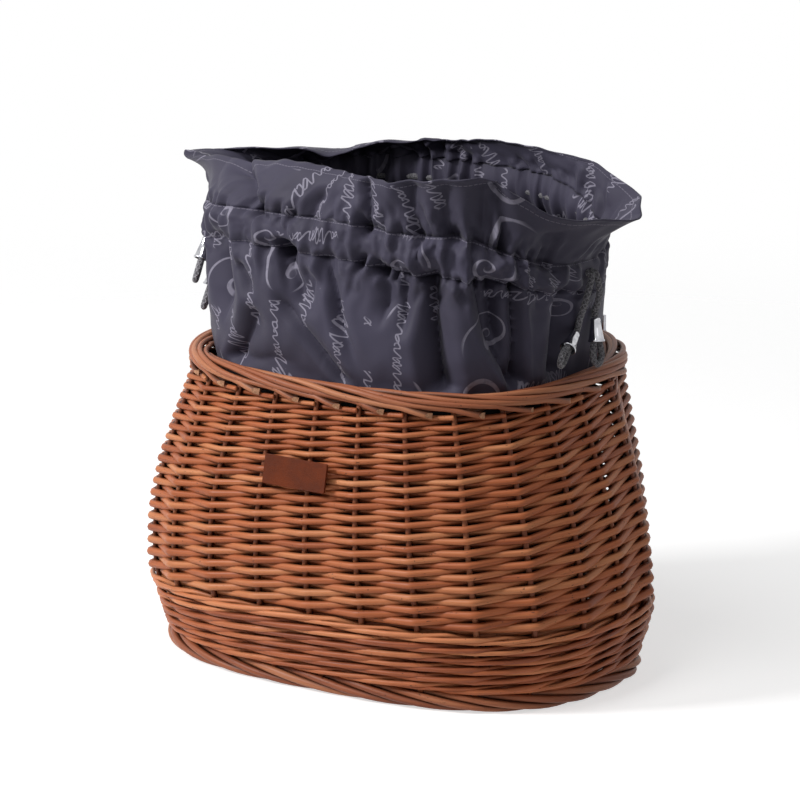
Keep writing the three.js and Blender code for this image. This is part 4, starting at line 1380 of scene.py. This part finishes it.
def buildLiningBottom():
    steps = bagBottom["steps"]
    bm = bmesh.new()
    bmesh.ops.create_grid(bm, x_segments=steps, y_segments=steps, size=0.5)
    layer = bm.loops.layers.uv.new("cloth")
    for vert in bm.verts:
        vert.co = bottomSpot(*(mix(-1, 1, round((part + 0.5) * steps) / steps) for part in vert.co.to_2d()))
    for face in bm.faces:
        for loop in face.loops:
            loop[layer].uv = loop.vert.co.to_2d()
    finish = liningMaterial("lining_bottom", cloth["stitches"]["bottom"])
    bottom = meshFrom(bm, "liningBottom", finish)
    addThickness(bottom, bagBottom["thickness"], 0)
    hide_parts("bag_bottom")
    return bottom


def buildLining():
    places = foldCloth()
    pieces = [buildLiningWall(places), buildLiningChannel(places), buildLiningCollar(places)]
    pieces.append(buildLiningBottom())
    for piece in pieces:
        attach(piece, "lining_bag")


buildLining()
print("lining gathered")


# Drawcords
cords = {
    "diameter": 0.005,
    "braid": 0.0042,  # length of one turn of the braid
    "strands": 4.0,
    "pale": "#b4b1b8",
    "dark": "#3b3940",
    # painted shade in the braid's grooves
    "gap": "#2f2d33",
    "endLength": 0.018,
    "endSmall": 0.0037,  # radii of the metal end
    "endWide": 0.0065,
    "mouthDepth": 0.006,
    "loopLength": 0.019,
    "loopWidth": 0.014,
    "loopStrand": 0.00265,  # from the mouth's middle to either strand in it
    # for each tail its points outward of the hole, toward the back and up, in millimetres, as in the solids,
    # then the middle of the metal end's mouth, and which way the loop spreads
    "tails": {
        "right_front": (
            [(0.1, -2.7, 0), (4.7, -3.2, -3), (4.1, -11, -21), (1.2, -14, -34), (-0.7, -17, -44.5)],
            (2.7, -37, -55.5), (0.25, -0.85, 0.45)),
        "right_back": (
            [(0.1, 2.7, 0), (4.7, 4.2, -3), (4.7, 9, -17), (1.7, 10, -29), (0.1, 10.6, -38)],
            (3.1, 7.5, -55), (0.2, 0.95, 0.2)),
        "left_front": (
            [(0.1, -2.7, 0), (6.2, -7, 1), (7.7, -18, -3.5), (7.7, -26, -8.5), (5.7, -32.5, -14)],
            (6.3, -40.5, -30), (0.5, 0.85, 0.2)),
        "left_back": (
            [(0.1, 2.7, 0), (6.2, 1, -7), (5.7, -7, -20), (3.7, -17, -29), (1.7, -25, -36.5)],
            (4.1, -31.5, -53), (0.5, 0.85, 0.2)),
    },
}
cordFinish = {"Roughness": 0.9, "Sheen Weight": 0.3, "Sheen Roughness": 0.6}


def cordMaterial():
    material, n, shader = newMaterial("drawcord_braid", **cordFinish)
    place = n.add("ShaderNodeAttribute", attribute_name="cordPlace", out=1)
    parts = n.tree.nodes.new("ShaderNodeSeparateXYZ")
    n.put(parts, 0, place)
    along = n.math("MULTIPLY", parts.outputs[0], 2 * math.pi / cords["braid"])
    around = n.math("MULTIPLY", parts.outputs[1], cords["strands"])
    left = n.math("SINE", n.math("ADD", along, around))
    right = n.math("SINE", n.math("SUBTRACT", along, around))
    braid = n.math("MAXIMUM", left, right)
    solid = n.add("ShaderNodeTexCoord", out=3)
    fleck = n.noise(solid, 1500, 2, 0.7)
    colour = n.blend(n.ramp(fleck, 0.38, 0.62), paint(cords["dark"]), paint(cords["pale"]))
    # painted shade: darker in the braid's grooves
    colour = n.blend(n.ramp(braid, -0.2, 0.9, 0.6, 0.0), colour, paint(cords["gap"]))
    n.put(shader, "Base Color", colour)
    addBump(n, shader, n.math("ADD", braid, fleck), 0.0006, 0.8)
    return material


def chromeMaterial():  # worn a little dull in clouds
    material, n, shader = newMaterial("cord_end_chrome", Metallic=1.0)
    place = n.add("ShaderNodeTexCoord", out=3)
    rub = n.noise(place, 700, 2, 0.5)
    cloud = n.noise(place, 160, 2, 0.5)
    n.put(shader, "Base Color", n.blend(n.ramp(cloud, 0.35, 0.65), paint("#c4c4c8"), paint("#a2a2a8")))
    n.put(shader, "Roughness", n.ramp(rub, 0.3, 0.8, 0.05, 0.16))
    return material


braidedCord = cordMaterial()
chrome = chromeMaterial()


def openThrough(points, steps=10):  # smooth line through points
    dense = []
    for i in range(len(points) - 1):
        b, c = points[i], points[i + 1]
        a = points[i - 1] if i else b * 2 - c
        d = points[i + 2] if i + 2 < len(points) else c * 2 - b
        dense += [smoothBetween(a, b, c, d, step / steps) for step in range(steps)]
    dense.append(points[-1])
    return dense


def buildCord(name, points, sides=16):
    rod = {
        "points": points,
        "radii": [cords["diameter"] / 2] * len(points),
        "outs": None,
        "tone": 0.5,
        "seed": 0,
        "start": 0,
    }
    piece = buildRods(name, [rod], sides, braidedCord, "MINIMUM")
    place = piece.data.attributes.new("cordPlace", "FLOAT_VECTOR", "POINT")
    values, along = [], 0.0
    for i, point in enumerate(points):
        along += (point - points[i - 1]).length if i else 0
        for side in range(sides):
            values += [along, 2 * math.pi * side / sides, 0]
    place.data.foreach_set("vector", values)
    return piece


def turnedEnd(name, head, along):  # the cone is turned in its own frame, then stood along the cord
    small, wide, length, depth = cords["endSmall"], cords["endWide"], cords["endLength"], cords["mouthDepth"]
    outline = [  # distance from the middle and from the head
        (0.0026, 0.0006), (0.0030, -0.0002), (small, 0.0006), (small + 0.0002, 0.0018), (small, 0.0026),
        (wide - 0.0007, length - 0.0022), (wide - 0.0001, length - 0.0014), (wide, length - 0.0006),
        (wide - 0.0004, length), (wide - 0.0009, length - 0.0004), (wide - 0.0014, length - depth),
    ]
    bm = bmesh.new()
    verts = [bm.verts.new((r, 0, z)) for r, z in outline]
    edges = [bm.edges.new(pair) for pair in zip(verts, verts[1:])]
    bmesh.ops.spin(bm, geom=verts + edges, cent=(0, 0, 0), axis=(0, 0, 1), angle=2 * math.pi, steps=40,
                   use_merge=True)
    bmesh.ops.remove_doubles(bm, verts=bm.verts, dist=1e-6)
    bmesh.ops.holes_fill(bm, edges=[e for e in bm.edges if e.is_boundary])
    bmesh.ops.recalc_face_normals(bm, faces=bm.faces)
    turn = Vector((0, 0, 1)).rotation_difference(along).to_matrix().to_4x4()
    bmesh.ops.transform(bm, matrix=Matrix.Translation(head) @ turn, verts=bm.verts)
    piece = meshFrom(bm, name, chrome)
    edge = piece.modifiers.new("softEdges", "BEVEL")
    edge.width = 0.0002
    edge.segments = 2
    edge.limit_method = "ANGLE"
    return piece


def loopOutline():  # across and along, from one strand in the mouth round to the other
    strand, bow = cords["loopStrand"], (cords["loopWidth"] - cords["diameter"]) / 2
    depth = cords["mouthDepth"]
    end = depth + cords["loopLength"] - cords["diameter"] / 2
    half = [(strand, 0), (strand, depth * 0.8), (bow, end * 0.62), (bow * 0.72, end * 0.9)]
    return [(-across, along) for across, along in half] + [(0, end)] + half[::-1]


def buildTail(name, tail, mouthSpot, loopWay):
    hole = Vector(cordHoles[name.split("_")[0]])
    side = math.copysign(1, hole.x)
    label = "".join(word.capitalize() for word in name.split("_"))

    def fromHole(point):
        return hole + Vector((side * point[0], point[1], point[2])) / 1000

    route = [fromHole(point) for point in tail]
    along = (fromHole(mouthSpot) - route[-1]).normalized()
    route.insert(-1, route[-1] - along * cords["diameter"])
    route = openThrough(route, 6)
    cordPiece = buildCord("drawcord" + label, route)
    head = route[-1] + along * 0.0006
    endPiece = turnedEnd("cordEnd" + label, head, along)
    sideways = Vector((side * loopWay[0], loopWay[1], loopWay[2]))
    sideways = (sideways - along * sideways.dot(along)).normalized()
    mouth = head + along * (cords["endLength"] - cords["mouthDepth"] + 0.0003)
    loopLine = [mouth + sideways * s + along * d for s, d in loopOutline()]
    loop = buildCord("cordLoop" + label, openThrough(loopLine, 6))
    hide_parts("cord_tail_" + name)
    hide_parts("cord_end_" + name)
    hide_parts("cord_loop_" + name)
    for piece in (cordPiece, endPiece, loop):
        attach(piece, "lining_bag")


for name, (tail, mouthSpot, loopWay) in cords["tails"].items():
    buildTail(name, tail, mouthSpot, loopWay)
dressNode("channel_drawcord", braidedCord)
print("drawcords hung")


# Leather
leatherFinish = {"Coat Weight": 0.03, "Coat Roughness": 0.4, "Specular IOR Level": 0.14}


def leatherMaterial(name, light, dark):
    material, n, shader = newMaterial(name, **leatherFinish)
    place = n.add("ShaderNodeTexCoord", out=3)
    cloud = n.noise(place, 55, 3, 0.6)
    grain = n.tree.nodes.new("ShaderNodeTexVoronoi")
    grain.feature = "DISTANCE_TO_EDGE"
    n.put(grain, "Vector", place)
    n.put(grain, "Scale", 1100.0)
    crease = n.ramp(grain.outputs["Distance"], 0.0, 0.25)
    colour = n.blend(n.ramp(cloud, 0.3, 0.7), paint(dark), paint(light))
    colour = n.blend(n.math("MULTIPLY", n.math("SUBTRACT", 1.0, crease), 0.35), colour, paint("#3c1c0f"))
    n.put(shader, "Base Color", colour)
    n.put(shader, "Roughness", n.ramp(cloud, 0.2, 0.8, 0.42, 0.6))
    addBump(n, shader, crease, 0.00015, 0.6)
    return material


tagLeather = leatherMaterial("tag_leather", "#773313", "#5f270e")
strapLeather = leatherMaterial("strap_leather", "#8a4a2a", "#6a371f")

tag = {
    "width": 0.056,
    "height": 0.0225,
    "thickness": 0.0021,
    "shift": (0.0025, 0, 0.0015),  # from the solid's middle
    "tilt": 0.6,
    "corner": 0.0013,
    "edge": 0.0004,
}


def buildTag():
    low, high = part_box("leather_tag")
    middle = (low + high) / 2 + Vector(tag["shift"])
    lean = math.asin((high.y - low.y - tag["thickness"]) / tag["height"])
    bm = bmesh.new()
    bmesh.ops.create_cube(bm, size=1)
    bmesh.ops.scale(bm, vec=(tag["width"], tag["thickness"], tag["height"]), verts=bm.verts)
    upright = [e for e in bm.edges if abs(e.verts[0].co.y - e.verts[1].co.y) > 1e-6]
    bmesh.ops.bevel(bm, geom=upright, offset=tag["corner"], offset_type="OFFSET", affect="EDGES", segments=5,
                    profile=0.5, material=-1)
    rims = [e for e in bm.edges if any(abs(f.normal.y) > 0.9 for f in e.link_faces)]
    bmesh.ops.bevel(bm, geom=rims, offset=tag["edge"], offset_type="OFFSET", affect="EDGES", segments=3,
                    profile=0.5, material=-1)
    turn = Matrix.Rotation(math.radians(tag["tilt"]), 4, "Y")
    lay = Matrix.Rotation(-lean, 4, "X")
    bmesh.ops.transform(bm, matrix=Matrix.Translation(middle) @ lay @ turn, verts=bm.verts)
    piece = meshFrom(bm, "leatherTag", tagLeather, smooth=False)
    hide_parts("leather_tag")
    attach(piece, "basket")


buildTag()
for side in ("left", "right"):
    dressNode("handlebar_strap_" + side, strapLeather)
    dressNode("buckle_frame_" + side, chrome)
    dressNode("buckle_prong_" + side, chrome)
print("tag and straps finished")


# Floor and light
stage = {
    "reach": 1.5,
    "fade": 0.6,  # from here outward the floor fades into the white behind it
    "glow": 0.62,  # brings the floor up to white where it is seen
    "sky": 0.085,  # the white round about, as the object is lit by it
}
floorFinish = {"Roughness": 0.9, "Base Color": (0.72, 0.72, 0.72, 1), "Emission Color": (1, 1, 1, 1)}


def plainlySeen(n):  # 1 for what the camera sees, straight, in metal or through glass
    seen = n.tree.nodes.new("ShaderNodeLightPath")
    plain = n.math("MAXIMUM", seen.outputs["Is Camera Ray"], seen.outputs["Is Glossy Ray"])
    return n.math("MAXIMUM", plain, seen.outputs["Is Transmission Ray"])


def buildStage():
    bm = bmesh.new()
    bmesh.ops.create_circle(bm, cap_ends=True, radius=stage["reach"], segments=64)
    material, n, shader = newMaterial("floor_pale", **floorFinish)
    n.put(shader, "Emission Strength", n.math("MULTIPLY", plainlySeen(n), stage["glow"]))
    place = n.add("ShaderNodeTexCoord", out=3)
    away = n.vector("LENGTH", place, out=1)
    n.put(shader, "Alpha", n.ramp(away, stage["fade"], stage["reach"], 1.0, 0.0))
    floor = meshFrom(bm, "floor", material)
    world = bpy.data.worlds.new("studio")
    scene.world = world
    world.use_nodes = True
    w = Nodes(world.node_tree)
    back = world.node_tree.nodes["Background"]
    w.put(back, "Color", (1, 1, 1, 1))
    w.put(back, "Strength", w.math("MULTIPLY_ADD", plainlySeen(w), 1 - stage["sky"], stage["sky"]))


lamps = {
    "keyLamp": {"place": (-1.5, -1.8, 1.7), "size": 0.55, "power": 54},
    "fillLamp": {"place": (2.1, -1.0, 2.0), "size": 1.2, "power": 2.4},
    "topLamp": {"place": (-0.1, -0.9, 2.3), "size": 0.9, "power": 15},
}
lampTarget = (0, 0, 0.2)


def addLamp(name, place, size, power):
    lamp = bpy.data.lights.new(name, "AREA")
    lamp.shape = "RECTANGLE"
    lamp.size = lamp.size_y = size
    lamp.energy = power
    holder = addObject(name, lamp)
    holder.location = place
    holder.rotation_euler = (Vector(lampTarget) - Vector(place)).to_track_quat("-Z", "Y").to_euler()


buildStage()
for name, lamp in lamps.items():
    addLamp(name, **lamp)
print("stage lit")
